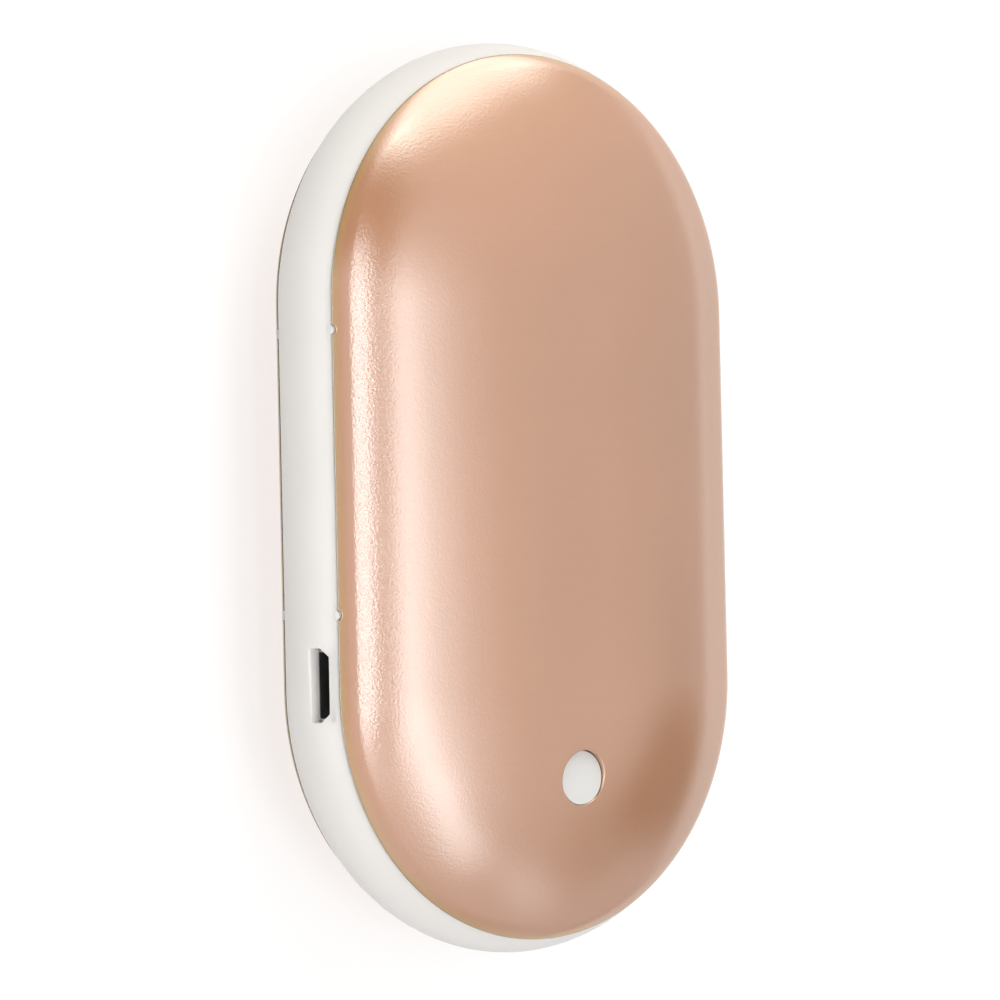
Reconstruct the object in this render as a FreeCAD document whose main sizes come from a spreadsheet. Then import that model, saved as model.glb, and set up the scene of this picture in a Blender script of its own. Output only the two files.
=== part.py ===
import FreeCAD, Part
import math
import os
import re
import Sketcher

Vector = FreeCAD.Vector

# Driving sizes in millimetres. Heights are measured from the middle plane of the case.
SIZES = {
    # Pebble-shaped case
    "body_length": 100.0,
    "body_width": 59.0,
    "body_thickness": 24.0,
    "side_radius": 6.8,
    "land_width": 8.0,
    "band_height": 9.2,
    # Metal covers
    "shell_wall": 0.8,
    "shell_proud": 0.25,
    "seam_gap": 0.1,
    "hole_diameter": 5.9,
    "hole_chamfer": 0.15,
    # Middle frame
    "frame_wall": 2.2,
    "lip_height": 0.8,
    "lip_wall": 0.9,
    "lip_clearance": 0.12,
    "lip_root": 0.6,
    # Snap nibs in the seam
    "nib_width": 1.0,
    "nib_height": 0.3,
    "nib_depth": 1.2,
    "nib_clearance": 0.08,
    "nib_end": 2.8,
    "nib_pitch": 30.0,
    # Charging port
    "port_from_end": 30.35,
    "port_height": 2.65,
    "port_length": 7.8,
    "port_width": 2.0,
    "port_chamfer": 0.9,
    "port_wall": 0.95,
    "port_clearance": 0.1,
    "usb_length": 7.5,
    "usb_height": 2.45,
    "usb_depth": 5.4,
    "usb_wall": 0.25,
    "usb_chamfer": 0.6,
    "tongue_width": 3.8,
    "tongue_thickness": 0.6,
    "tongue_setback": 0.7,
    "tongue_root": 1.6,
    "contact_width": 0.25,
    "contact_pitch": 0.65,
    "contact_thickness": 0.12,
    "contact_setback": 1.05,
    # Chassis and board
    "board_thickness": 1.2,
    "board_edge": 0.1,
    "board_gap": 0.4,
    "arm_width": 5.7,
    "arm_end": 3.0,
    "chassis_thickness": 1.2,
    "chassis_clearance": 0.2,
    "chassis_wall": 1.2,
    "chassis_rise": 3.0,
    "chassis_drop": 4.0,
    "boss_width": 4.6,
    "boss_inset": 1.9,
    "boss_bite": 0.3,
    "port_to_boss": 8.65,
    # Screws
    "screw_core": 1.6,
    "screw_clearance": 0.15,
    "screw_bite": 3.0,
    "head_diameter": 3.4,
    "head_height": 1.2,
    # Cells
    "switch_room": 5.2,
    "cell_clearance": 0.3,
    "cell_end_reach": 4.5,
    "cell_slack": 0.15,
    "cell_round": 2.0,
    "divider_thickness": 0.6,
    "divider_margin": 3.0,
    "tab_length": 0.5,
    "tab_width": 4.0,
    "tab_thickness": 0.2,
    "tab_offset": 7.0,
    "protection_thickness": 0.8,
    "protection_gap": 0.2,
    "protection_width": 24.0,
    "protection_height": 5.6,
    # Heating films and foam
    "film_gap": 0.04,
    "film_thickness": 0.2,
    "film_overhang": 0.6,
    "film_end": 0.6,
    "foam_gap": 0.02,
    "foam_margin": 2.0,
    "foam_end": 0.6,
    # Push button
    "button_from_end": 19.45,
    "button_diameter": 5.7,
    "button_recess": 0.4,
    "button_edge": 0.25,
    "button_travel": 0.4,
    "flange_diameter": 7.6,
    "flange_thickness": 0.8,
    "flange_gap": 0.15,
    "stem_diameter": 4.8,
    "stem_gap": 0.3,
    # Push switch
    "switch_width": 6.0,
    "switch_base_height": 3.2,
    "switch_floor": 0.6,
    "switch_bore": 4.6,
    "cover_thickness": 0.3,
    "plunger_diameter": 3.4,
    "plunger_clearance": 0.1,
    "plunger_height": 5.6,
    "plunger_collar": 4.2,
    "collar_thickness": 0.6,
    "plunger_pin": 1.6,
    "dome_diameter": 4.2,
    "dome_rise": 0.9,
    "dome_thickness": 0.1,
    "leg_width": 0.7,
    "leg_length": 1.2,
    "leg_thickness": 0.3,
    "leg_spread": 2.25,
    # Leads
    "lead_diameter": 0.8,
    "fine_lead_diameter": 0.6,
    "lead_bend": 1.6,
    "lead_hole": 1.6,
    "lead_drop": 1.2,
    "lead_overlap": 2.0,
    "lead_pitch": 2.0,
    "battery_lead_x": 6.0,
    "battery_lead_run": 3.0,
    "lead_inset": 3.8,
    "lead_clearance": 0.1,
    "thermistor_inset": 8.2,
    "thermistor_lead_pitch": 1.2,
    "thermistor_length": 2.2,
    "thermistor_width": 1.6,
    "thermistor_height": 0.5,
    # Parts on the board, placed from the button axis
    "chip_x": 11.0,
    "chip_drop": 1.5,
    "chip_depth": 3.9,
    "chip_height": 1.5,
    "charge_chip_width": 4.9,
    "control_chip_width": 6.2,
    "chip_leg_pitch": 1.27,
    "chip_leg_width": 0.4,
    "chip_leg_length": 1.05,
    "chip_leg_thickness": 0.25,
    "transistor_x": 8.0,
    "transistor_pitch": 4.4,
    "transistor_drop": 8.0,
    "transistor_width": 2.9,
    "transistor_depth": 1.4,
    "transistor_height": 1.1,
    "capacitor_x": -12.5,
    "capacitor_pitch": 2.8,
    "capacitor_drop": 8.0,
    "capacitor_width": 1.25,
    "capacitor_depth": 2.0,
    "capacitor_height": 0.9,
    "resistor_x": -2.6,
    "resistor_pitch": 2.6,
    "resistor_drop": 7.0,
    "resistor_width": 0.8,
    "resistor_depth": 1.6,
    "resistor_height": 0.45,
    "lamp_x": -5.0,
    "lamp_pitch": 10.0,
    "lamp_drop": 0.5,
    "lamp_width": 0.8,
    "lamp_depth": 1.6,
    "lamp_height": 0.6,
}

# Sizes that follow from the driving sizes.
DERIVED = {
    "mid_z": "body_thickness / 2",
    "seam_height": "band_height / 2",
    "half_straight": "(body_length - body_width) / 2",
    "flank_centre": "body_width / 2 - side_radius",
    "land_half": "land_width / 2",
    "shell_radius": "side_radius + shell_proud",
    "crown_radius": "(pow(flank_centre - land_half; 2) / (mid_z - shell_radius) + shell_radius + mid_z) / 2",
    "crown_centre": "mid_z - crown_radius",
    "join_sine": "(flank_centre - land_half) / (crown_radius - shell_radius)",
    "join_cosine": "(crown_radius - mid_z) / (crown_radius - shell_radius)",
    "rim_height": "seam_height + seam_gap",
    "inner_radius": "shell_radius - shell_wall",
    "inner_crown": "crown_radius - shell_wall",
    "band_edge": "flank_centre + sqrt(pow(side_radius; 2) - pow(seam_height; 2))",
    "lip_radius": "inner_radius - lip_clearance",
    "lip_top": "seam_height + lip_height",
    "lip_foot": "flank_centre + sqrt(pow(lip_radius; 2) - pow(seam_height; 2))",
    "lip_outer": "flank_centre + sqrt(pow(lip_radius; 2) - pow(lip_top; 2))",
    "lip_inner": "lip_outer - lip_wall",
    "frame_inner": "body_width / 2 - frame_wall",
    "lip_base": "seam_height - lip_root",
    "slope_end": "lip_base - (frame_inner - lip_inner)",
    "nib_outer": "flank_centre + sqrt(pow(shell_radius; 2) - pow(rim_height + nib_height; 2))",
    "nib_high": "half_straight - nib_end",
    "nib_low": "nib_high - nib_pitch",
    "port_y": "port_from_end - body_length / 2",
    "port_mouth": "flank_centre + sqrt(pow(side_radius; 2) - pow(port_height; 2)) - port_wall",
    "usb_rear": "port_mouth - usb_depth",
    "board_top": "port_height - usb_height / 2",
    "board_bottom": "board_top - board_thickness",
    "chassis_bottom": "board_bottom - chassis_thickness",
    "chassis_half": "lip_inner - chassis_clearance",
    "board_half": "chassis_half - board_edge",
    "arm_inner": "board_half - arm_width",
    "wall_outer": "arm_inner - board_gap",
    "wall_inner": "wall_outer - chassis_wall",
    "cell_half": "wall_inner - cell_clearance",
    "boss_x": "lip_inner - boss_inset",
    "boss_y": "-port_y - port_to_boss",
    "boss_end": "half_straight + boss_x",
    "screw_shank": "screw_core / 2 + screw_clearance / 2",
    "screw_pass": "screw_core / 2 + screw_clearance",
    "button_y": "button_from_end - body_length / 2",
    "button_rho": "-button_y - half_straight",
    "button_seat": "crown_centre + sqrt(pow(crown_radius; 2) - pow(max(button_rho - land_half; 0); 2))",
    "cap_top": "button_seat - button_recess",
    "flange_rho": "max(button_rho + flange_diameter / 2 - land_half; 0)",
    "flange_top": "crown_centre + sqrt(pow(inner_crown; 2) - pow(flange_rho; 2)) - flange_gap",
    "plunger_top": "board_top + plunger_height",
    "switch_top": "switch_base_height + cover_thickness",
    "stem_bottom": "board_top + switch_top + button_travel + stem_gap",
    "wall_low": "button_y + switch_room",
    "board_high": "wall_low - board_gap",
    "protection_y": "wall_low + chassis_wall + protection_gap",
    "cell_low": "protection_y + protection_thickness + tab_length",
    "cell_high": "half_straight + cell_end_reach",
    "wall_high": "cell_high + cell_clearance + chassis_wall",
    "cell_reach": "max(max(cell_high; -cell_low) - half_straight; 0)",
    "cell_corner": "sqrt(pow(cell_half; 2) + pow(cell_reach; 2)) - land_half",
    "film_radius": "inner_crown - film_gap",
    "film_inside": "film_radius - film_thickness",
    "dome_room": "crown_centre + sqrt(pow(film_inside; 2) - pow(cell_corner; 2)) - cell_slack",
    "lead_radius": "lead_diameter / 2",
    "fine_lead_radius": "fine_lead_diameter / 2",
    "lead_y": "board_high - lead_drop",
    "lead_reach": "cell_half - lead_inset + lead_radius",
    "lead_along": "max(lead_radius - lead_y - half_straight; 0)",
    "lead_corner": "sqrt(pow(lead_reach; 2) + pow(lead_along; 2)) - land_half",
    "lead_dome": "sqrt(pow(inner_crown - lead_clearance; 2) - pow(lead_corner; 2))",
    "lead_room": "crown_centre + lead_dome - lead_diameter - lead_clearance",
    "cell_top": "min(dome_room; lead_room)",
    "film_half": "cell_half + film_overhang",
    "film_length": "2 * half_straight - 2 * film_end",
    "foam_radius": "film_inside - foam_gap",
    "foam_half": "cell_half - foam_margin",
    "foam_length": "film_length - 2 * (lead_overlap + thermistor_length + foam_end)",
    "foam_foot": "cell_top + foam_gap",
    "front_lead_x": "lead_inset - cell_half",
    "back_lead_x": "cell_half - lead_inset - lead_pitch",
    "thermistor_x": "thermistor_inset - cell_half",
    "film_low": "-film_length / 2",
    "battery_lead_z": "board_top + lead_radius",
}

doc = FreeCAD.newDocument("HandWarmer")
sheet = doc.addObject("Spreadsheet::Sheet", "Sizes")
for row, (size_name, size_value) in enumerate(SIZES.items(), start=1):
    sheet.set("A%d" % row, size_name)
    sheet.set("B%d" % row, repr(size_value))
    sheet.setAlias("B%d" % row, size_name)
doc.recompute()
derived = doc.addObject("App::VarSet", "Derived")


def spell(expression):
    """Write plain size names as references to the sheet or to the derived sizes."""

    def reference(match):
        name = match.group()
        if name in SIZES:
            return "Sizes." + name
        if name in DERIVED:
            return "Derived." + name
        return name

    return re.sub(r"[a-z][a-z_0-9]*", reference, str(expression))


for derived_name, derived_rule in DERIVED.items():
    derived.addProperty("App::PropertyFloat", derived_name, "Derived")
    derived.setExpression(derived_name, spell(derived_rule))
doc.recompute()

PIECES = []

# Screw axes and the places where leads meet the board.
BOARD_SCREWS = [("boss_x", "-boss_y"), ("-boss_x", "-boss_y"), ("0", "-boss_end")]
CHASSIS_SCREWS = [("boss_x", "boss_y"), ("-boss_x", "boss_y"), ("0", "boss_end")]
FRONT_LEADS = ["front_lead_x", "front_lead_x + lead_pitch"]
BACK_LEADS = ["back_lead_x", "back_lead_x + lead_pitch"]
THERMISTOR_LEADS = ["thermistor_x - thermistor_lead_pitch / 2", "thermistor_x + thermistor_lead_pitch / 2"]


def value(expression):
    """Number that an expression of size names stands for."""
    return float(derived.evalExpression(spell(expression)))


def place(piece, x="0", y="0", z="mid_z", turn=None):
    """Bind the position of a piece; turn is an angle about the long axis."""
    if turn:
        piece.Placement = FreeCAD.Placement(Vector(0, 0, 0), FreeCAD.Rotation(Vector(0, 1, 0), turn))
    piece.setExpression("Placement.Base.x", spell(x))
    piece.setExpression("Placement.Base.y", spell(y))
    piece.setExpression("Placement.Base.z", spell(z))


def new_body(label, x="0", y="0", z="mid_z", turn=None):
    """Start a named piece at its place in the case."""
    piece = doc.addObject("PartDesign::Body", label)
    piece.Label = label
    place(piece, x, y, z, turn)
    PIECES.append(piece)
    return piece


def origin_plane(piece, role):
    """One of the three origin planes of a body."""
    return [plane for plane in piece.Origin.OriginFeatures if plane.Role == role][0]


def new_sketch(piece, plane, offset="0"):
    """Empty sketch on an origin plane, moved along its normal."""
    sketch = piece.newObject("Sketcher::SketchObject", piece.Name + "_sketch")
    sketch.AttachmentSupport = (origin_plane(piece, plane), [""])
    sketch.MapMode = "FlatFace"
    sketch.setExpression("AttachmentOffset.Base.z", spell(offset))
    return sketch


def bind_constraint(sketch, constraint, rule):
    """Add a dimension to a sketch and tie it to an expression."""
    index = sketch.addConstraint(constraint)
    name = "size_%d" % index
    sketch.renameConstraint(index, name)
    sketch.setExpression("Constraints." + name, spell(rule))


def pin_point(sketch, edge, end, x, y):
    """Hold a sketch point at a position given by two expressions."""
    for kind, axis, rule in (("DistanceX", -2, x), ("DistanceY", -1, y)):
        if rule == "0":
            sketch.addConstraint(Sketcher.Constraint("PointOnObject", edge, end, axis))
        else:
            bind_constraint(sketch, Sketcher.Constraint(kind, -1, 1, edge, end, value(rule)), rule)


def arc_between(start, end, radius, side):
    """Minor arc from start to end, its centre on the left (side 1) or right (side -1) of the chord."""
    chord = end - start
    normal = Vector(-chord.y, chord.x, 0) * (side / chord.Length)
    height = math.sqrt(max(radius ** 2 - chord.Length ** 2 / 4, 0))
    centre = (start + end) * 0.5 + normal * height
    first = start if side > 0 else end
    last = end if side > 0 else start
    first_angle = math.atan2(first.y - centre.y, first.x - centre.x)
    last_angle = math.atan2(last.y - centre.y, last.x - centre.x)
    return Part.ArcOfCircle(Part.Circle(centre, Vector(0, 0, 1), radius), first_angle, last_angle)


def draw_loop(sketch, corners):
    """Closed loop through corners (x, y); (x, y, radius, side) starts an arc at that corner."""
    points = [Vector(value(corner[0]), value(corner[1]), 0) for corner in corners]
    count = len(corners)
    ends = []
    for i, corner in enumerate(corners):
        start = points[i]
        end = points[(i + 1) % count]
        if len(corner) == 4:
            shape = arc_between(start, end, value(corner[2]), corner[3])
        else:
            shape = Part.LineSegment(start, end)
        edge = sketch.addGeometry(shape)
        ends.append((edge, 2, 1) if len(corner) == 4 and corner[3] < 0 else (edge, 1, 2))
    for i, corner in enumerate(corners):
        edge, first, last = ends[i]
        next_edge, next_first, next_last = ends[(i + 1) % count]
        sketch.addConstraint(Sketcher.Constraint("Coincident", edge, last, next_edge, next_first))
        pin_point(sketch, edge, first, corner[0], corner[1])
        if len(corner) == 4:
            bind_constraint(sketch, Sketcher.Constraint("Radius", edge, value(corner[2])), corner[2])


def draw_circle(sketch, x, y, radius):
    """Circle with bound centre and radius."""
    circle = Part.Circle(Vector(value(x), value(y), 0), Vector(0, 0, 1), value(radius))
    edge = sketch.addGeometry(circle)
    pin_point(sketch, edge, 3, x, y)
    bind_constraint(sketch, Sketcher.Constraint("Radius", edge, value(radius)), radius)


def rectangle(left, right, low, high):
    """Corners of an upright rectangle."""
    return [(left, low), (right, low), (right, high), (left, high)]


def centred(x, y, width, depth):
    """Corners of a rectangle about a centre."""
    return rectangle(
        "%s - (%s) / 2" % (x, width),
        "%s + (%s) / 2" % (x, width),
        "%s - (%s) / 2" % (y, depth),
        "%s + (%s) / 2" % (y, depth),
    )


def stadium(half_width, half_length):
    """Corners of a rectangle with half-round ends, the ends drawn as quarter arcs."""
    tip = "%s + %s" % (half_length, half_width)
    return [
        (half_width, "-(%s)" % half_length),
        (half_width, half_length, half_width, 1),
        ("0", tip, half_width, 1),
        ("-(%s)" % half_width, half_length),
        ("-(%s)" % half_width, "-(%s)" % half_length, half_width, 1),
        ("0", "-(%s)" % tip, half_width, 1),
    ]


def draw(piece, plane, loops=(), circles=(), offset="0"):
    """Sketch of closed loops and circles on an origin plane."""
    sketch = new_sketch(piece, plane, offset)
    for corners in loops:
        draw_loop(sketch, corners)
    for x, y, radius in circles:
        draw_circle(sketch, x, y, radius)
    return sketch


def extrude(kind, piece, sketch, length, symmetric=False, reverse=False):
    """Pad or pocket of a sketch with a bound length."""
    feature = piece.newObject("PartDesign::" + kind, piece.Name + "_" + kind.lower())
    feature.Profile = sketch
    feature.setExpression("Length", spell(length))
    feature.SideType = "Symmetric" if symmetric else "One side"
    feature.Reversed = reverse
    doc.recompute()
    return feature


def pad(piece, sketch, length, symmetric=False, reverse=False):
    """Add material along the normal of a sketch."""
    return extrude("Pad", piece, sketch, length, symmetric, reverse)


def pocket(piece, sketch, length, reverse=False):
    """Take material away against the normal of a sketch."""
    return extrude("Pocket", piece, sketch, length, False, reverse)


def revolve(piece, sketch, angle):
    """Turn a sketch about its upright axis."""
    feature = piece.newObject("PartDesign::Revolution", piece.Name + "_revolution")
    feature.Profile = sketch
    feature.ReferenceAxis = (sketch, ["V_Axis"])
    feature.Angle = angle
    feature.Reversed = True
    doc.recompute()
    return feature


def mirror(piece, feature, plane):
    """Repeat a feature on the other side of an origin plane."""
    copy = piece.newObject("PartDesign::Mirrored", piece.Name + "_mirrored")
    copy.Originals = [feature]
    copy.MirrorPlane = (origin_plane(piece, plane), [""])
    piece.Tip = copy
    doc.recompute()
    return copy


def sweep_stadium(piece, corners):
    """Carry a half section once around the case: two straight flanks and two half-round ends."""
    flank = pad(piece, draw(piece, "XZ_Plane", [corners]), "2 * half_straight", symmetric=True)
    mirror(piece, flank, "YZ_Plane")
    end = revolve(piece, draw(piece, "XZ_Plane", [corners], offset="half_straight"), 180)
    mirror(piece, end, "XZ_Plane")


def plates(label, loops, thickness, x="0", y="0", z="mid_z", offset="0", turn=None):
    """Piece made of one or more flat blocks of the same thickness."""
    piece = new_body(label, x, y, z, turn)
    pad(piece, draw(piece, "XY_Plane", loops, offset=offset), thickness)
    return piece


def cord(label, runs, radius):
    """Round leads through corner points, straight runs joined by tangent arcs."""
    bend = value("lead_bend")
    solids = []
    for run in runs:
        points = [Vector(value(x), value(y), value(z)) for x, y, z in run]
        edges = []
        start = points[0]
        for before, corner, after in zip(points, points[1:], points[2:]):
            back = (before - corner).normalize()
            ahead = (after - corner).normalize()
            half_angle = back.getAngle(ahead) / 2
            reach = bend / math.tan(half_angle)
            middle = (back + ahead).normalize()
            arc_middle = corner + middle * (bend / math.sin(half_angle) - bend)
            arc_start = corner + back * reach
            arc_end = corner + ahead * reach
            edges.append(Part.LineSegment(start, arc_start).toShape())
            edges.append(Part.Arc(arc_start, arc_middle, arc_end).toShape())
            start = arc_end
        edges.append(Part.LineSegment(start, points[-1]).toShape())
        section = Part.Circle(points[0], points[1] - points[0], value(radius)).toShape()
        solids.append(Part.Wire(edges).makePipeShell([Part.Wire([section])], True, False))
    piece = doc.addObject("Part::Feature", label)
    piece.Label = label
    piece.Shape = Part.makeCompound(solids) if len(solids) > 1 else solids[0]
    place(piece)
    PIECES.append(piece)
    return piece


def case_shell(label, turn=None):
    """Domed metal cover: flat land, crown arc and side arc, trimmed at the rim, with notches for the nibs."""
    piece = new_body(label, turn=turn)
    section = [
        ("0", "mid_z - shell_wall"),
        ("land_half", "mid_z - shell_wall", "inner_crown", -1),
        (
            "land_half + inner_crown * join_sine",
            "crown_centre + inner_crown * join_cosine",
            "inner_radius",
            -1,
        ),
        ("flank_centre + inner_radius", "0"),
        ("flank_centre + shell_radius", "0", "shell_radius", 1),
        (
            "land_half + crown_radius * join_sine",
            "crown_centre + crown_radius * join_cosine",
            "crown_radius",
            1,
        ),
        ("land_half", "mid_z"),
        ("0", "mid_z"),
    ]
    sweep_stadium(piece, section)
    below = centred("0", "0", "body_width + 2 * shell_radius", "body_length + 2 * shell_radius")
    pocket(piece, draw(piece, "XY_Plane", [below]), "rim_height", reverse=True)
    width = "nib_width + 2 * nib_clearance"
    notches = []
    for side in ("", "-"):
        for y in ("nib_high", "nib_low"):
            notches.append(centred(side + "nib_outer", y, "2 * nib_depth + 2 * nib_clearance", width))
    pocket(piece, draw(piece, "XY_Plane", notches, offset="rim_height"), "nib_height", reverse=True)
    return piece


def add_button_hole(piece):
    """Hole for the push button, with a bevelled outer edge."""
    circle = [("0", "button_y", "hole_diameter / 2")]
    hole = pocket(piece, draw(piece, "XY_Plane", circles=circle, offset="mid_z"), "mid_z - flange_top")
    radius = value("hole_diameter / 2")
    rim = []
    for index, edge in enumerate(hole.Shape.Edges, start=1):
        start = edge.Vertexes[0].Point
        on_hole = abs(math.hypot(start.x, start.y - value("button_y")) - radius) < 1e-4
        if on_hole and abs(edge.CenterOfMass.z - value("button_seat")) < value("shell_wall / 2"):
            rim.append("Edge%d" % index)
    bevel = piece.newObject("PartDesign::Chamfer", piece.Name + "_bevel")
    bevel.Base = (hole, rim)
    bevel.setExpression("Size", spell("hole_chamfer"))
    doc.recompute()


def middle_frame():
    """Plastic band with a lip for each cover, screw bosses, snap nibs and the charging slot."""
    piece = new_body("middle_frame")
    section = [
        ("band_edge", "-seam_height", "side_radius", 1),
        ("band_edge", "seam_height"),
        ("lip_foot", "seam_height"),
        ("lip_outer", "lip_top"),
        ("lip_inner", "lip_top"),
        ("lip_inner", "lip_base"),
        ("frame_inner", "slope_end"),
        ("frame_inner", "-slope_end"),
        ("lip_inner", "-lip_base"),
        ("lip_inner", "-lip_top"),
        ("lip_outer", "-lip_top"),
        ("lip_foot", "-seam_height"),
    ]
    sweep_stadium(piece, section)
    bosses = []
    pilots = []
    half = "boss_width / 2"
    for side in (1, -1):
        for y in ("boss_y", "-boss_y"):
            bosses.append(
                [
                    ("%d * boss_x" % side, "%s - %d * %s" % (y, side, half)),
                    ("%d * (frame_inner + boss_bite)" % side, "%s - %d * %s" % (y, side, half)),
                    ("%d * (frame_inner + boss_bite)" % side, "%s + %d * %s" % (y, side, half)),
                    ("%d * boss_x" % side, "%s + %d * %s" % (y, side, half), half, 1),
                    ("%d * (boss_x - %s)" % (side, half), y, half, 1),
                ]
            )
            pilots.append(("%d * boss_x" % side, y, "screw_shank"))
        end = "%d * (half_straight + frame_inner + boss_bite)" % side
        bosses.append(
            [
                ("-%d * %s" % (side, half), end),
                ("-%d * %s" % (side, half), "%d * boss_end" % side, half, 1),
                ("0", "%d * (boss_end - %s)" % (side, half), half, 1),
                ("%d * %s" % (side, half), "%d * boss_end" % side),
                ("%d * %s" % (side, half), end),
            ]
        )
        pilots.append(("0", "%d * boss_end" % side, "screw_shank"))
    depth = "chassis_bottom + seam_height"
    pad(piece, draw(piece, "XY_Plane", bosses, offset="chassis_bottom"), depth, reverse=True)
    holes = draw(piece, "XY_Plane", circles=pilots, offset="chassis_bottom")
    pocket(piece, holes, "screw_bite + screw_clearance")
    nibs = []
    for side in ("", "-"):
        for y in ("nib_high", "nib_low"):
            nibs.append(centred("%s(nib_outer - nib_depth / 2)" % side, y, "nib_depth", "nib_width"))
    pad(piece, draw(piece, "XY_Plane", nibs, offset="seam_height"), "nib_height")
    pad(piece, draw(piece, "XY_Plane", nibs, offset="-seam_height"), "nib_height", reverse=True)
    low = "port_y - port_length / 2"
    high = "port_y + port_length / 2"
    bottom = "port_height - port_width / 2"
    top = "port_height + port_width / 2"
    slot = [
        (low, bottom),
        (high, bottom),
        (high, top + " - port_chamfer"),
        (high + " - port_chamfer", top),
        (low + " + port_chamfer", top),
        (low, top + " - port_chamfer"),
    ]
    pocket(piece, draw(piece, "YZ_Plane", [slot], offset="-usb_rear"), "body_width / 2 - usb_rear")
    bay = rectangle(
        "port_y - usb_length / 2 - port_clearance",
        "port_y + usb_length / 2 + port_clearance",
        "board_top - port_clearance",
        "port_height + usb_height / 2 + port_clearance",
    )
    pocket(piece, draw(piece, "YZ_Plane", [bay], offset="-usb_rear"), "port_mouth - usb_rear")
    return piece


def inner_chassis():
    """Flat tray on the frame bosses, with a walled window for the cells."""
    piece = new_body("inner_chassis")
    window = rectangle("-wall_inner", "wall_inner", "wall_low + chassis_wall", "wall_high - chassis_wall")
    rim = rectangle("-wall_outer", "wall_outer", "wall_low", "wall_high")
    plate = draw(piece, "XY_Plane", [stadium("chassis_half", "half_straight")], offset="chassis_bottom")
    pad(piece, plate, "chassis_thickness")
    pad(piece, draw(piece, "XY_Plane", [rim], offset="-chassis_drop"), "chassis_drop + chassis_rise")
    pocket(piece, draw(piece, "XY_Plane", [window], offset="chassis_rise"), "chassis_drop + chassis_rise")
    holes = [(x, y, "screw_pass") for x, y in BOARD_SCREWS + CHASSIS_SCREWS]
    holes += [(x, "lead_y", "lead_hole / 2") for x in BACK_LEADS]
    pocket(piece, draw(piece, "XY_Plane", circles=holes, offset="board_bottom"), "chassis_thickness")
    notch_left = "battery_lead_x - lead_diameter"
    notch_right = "battery_lead_x + lead_pitch + lead_diameter"
    notch = rectangle(notch_left, notch_right, "board_top", "chassis_rise")
    gap = draw(piece, "XZ_Plane", [notch], offset="-wall_low - chassis_wall")
    pocket(piece, gap, "chassis_wall", reverse=True)
    return piece


def circuit_board():
    """U-shaped board: a half-round lower part with an arm up each flank."""
    piece = new_body("circuit_board")
    arm_top = "arm_end - boss_y"
    corners = [
        ("-board_half", arm_top),
        ("-board_half", "-half_straight", "board_half", 1),
        ("0", "-half_straight - board_half", "board_half", 1),
        ("board_half", "-half_straight"),
        ("board_half", arm_top),
        ("arm_inner", arm_top),
        ("arm_inner", "board_high"),
        ("-arm_inner", "board_high"),
        ("-arm_inner", arm_top),
    ]
    holes = [(x, y, "screw_pass") for x, y in BOARD_SCREWS]
    pad(piece, draw(piece, "XY_Plane", [corners], offset="board_bottom"), "board_thickness")
    pocket(piece, draw(piece, "XY_Plane", circles=holes, offset="board_top"), "board_thickness")


def screws(label, spots, seat):
    """Pan-head screws from a seat height down into the frame bosses."""
    piece = new_body(label)
    heads = [(x, y, "head_diameter / 2") for x, y in spots]
    shanks = [(x, y, "screw_core / 2") for x, y in spots]
    pad(piece, draw(piece, "XY_Plane", circles=heads, offset=seat), "head_height")
    length = "%s - chassis_bottom + screw_bite" % seat
    pad(piece, draw(piece, "XY_Plane", circles=shanks, offset=seat), length, reverse=True)


def heater_film(label, turn=None):
    """Heating film that follows the inside of a cover along its straight part."""
    piece = new_body(label, turn=turn)
    outer = "crown_centre + sqrt(pow(film_radius; 2) - pow(film_half - land_half; 2))"
    inner = "crown_centre + sqrt(pow(film_inside; 2) - pow(film_half - land_half; 2))"
    section = [
        ("-film_half", inner, "film_inside", -1),
        ("-land_half", "crown_centre + film_inside"),
        ("land_half", "crown_centre + film_inside", "film_inside", -1),
        ("film_half", inner),
        ("film_half", outer, "film_radius", 1),
        ("land_half", "crown_centre + film_radius"),
        ("-land_half", "crown_centre + film_radius", "film_radius", 1),
        ("-film_half", outer),
    ]
    pad(piece, draw(piece, "XZ_Plane", [section]), "film_length", symmetric=True)


def foam_pad(label, turn=None):
    """Foam between a cell and a heating film, flat below and domed above."""
    piece = new_body(label, turn=turn)
    edge = "crown_centre + sqrt(pow(foam_radius; 2) - pow(foam_half - land_half; 2))"
    section = [
        ("-foam_half", "foam_foot"),
        ("foam_half", "foam_foot"),
        ("foam_half", edge, "foam_radius", 1),
        ("land_half", "crown_centre + foam_radius"),
        ("-land_half", "crown_centre + foam_radius", "foam_radius", 1),
        ("-foam_half", edge),
    ]
    pad(piece, draw(piece, "XZ_Plane", [section]), "foam_length", symmetric=True)


def pouch_cell(label, turn=None):
    """Pouch cell with rounded upright edges."""
    piece = new_body(label, turn=turn)
    block = rectangle("-cell_half", "cell_half", "cell_low", "cell_high")
    foot = "divider_thickness / 2"
    body = pad(piece, draw(piece, "XY_Plane", [block], offset=foot), "cell_top - " + foot)
    upright = []
    for index, edge in enumerate(body.Shape.Edges, start=1):
        direction = edge.Vertexes[-1].Point - edge.Vertexes[0].Point
        if abs(direction.z) > 0.9 * edge.Length:
            upright.append("Edge%d" % index)
    rounding = piece.newObject("PartDesign::Fillet", label + "_rounding")
    rounding.Base = (body, upright)
    rounding.setExpression("Radius", spell("cell_round"))
    doc.recompute()


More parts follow.
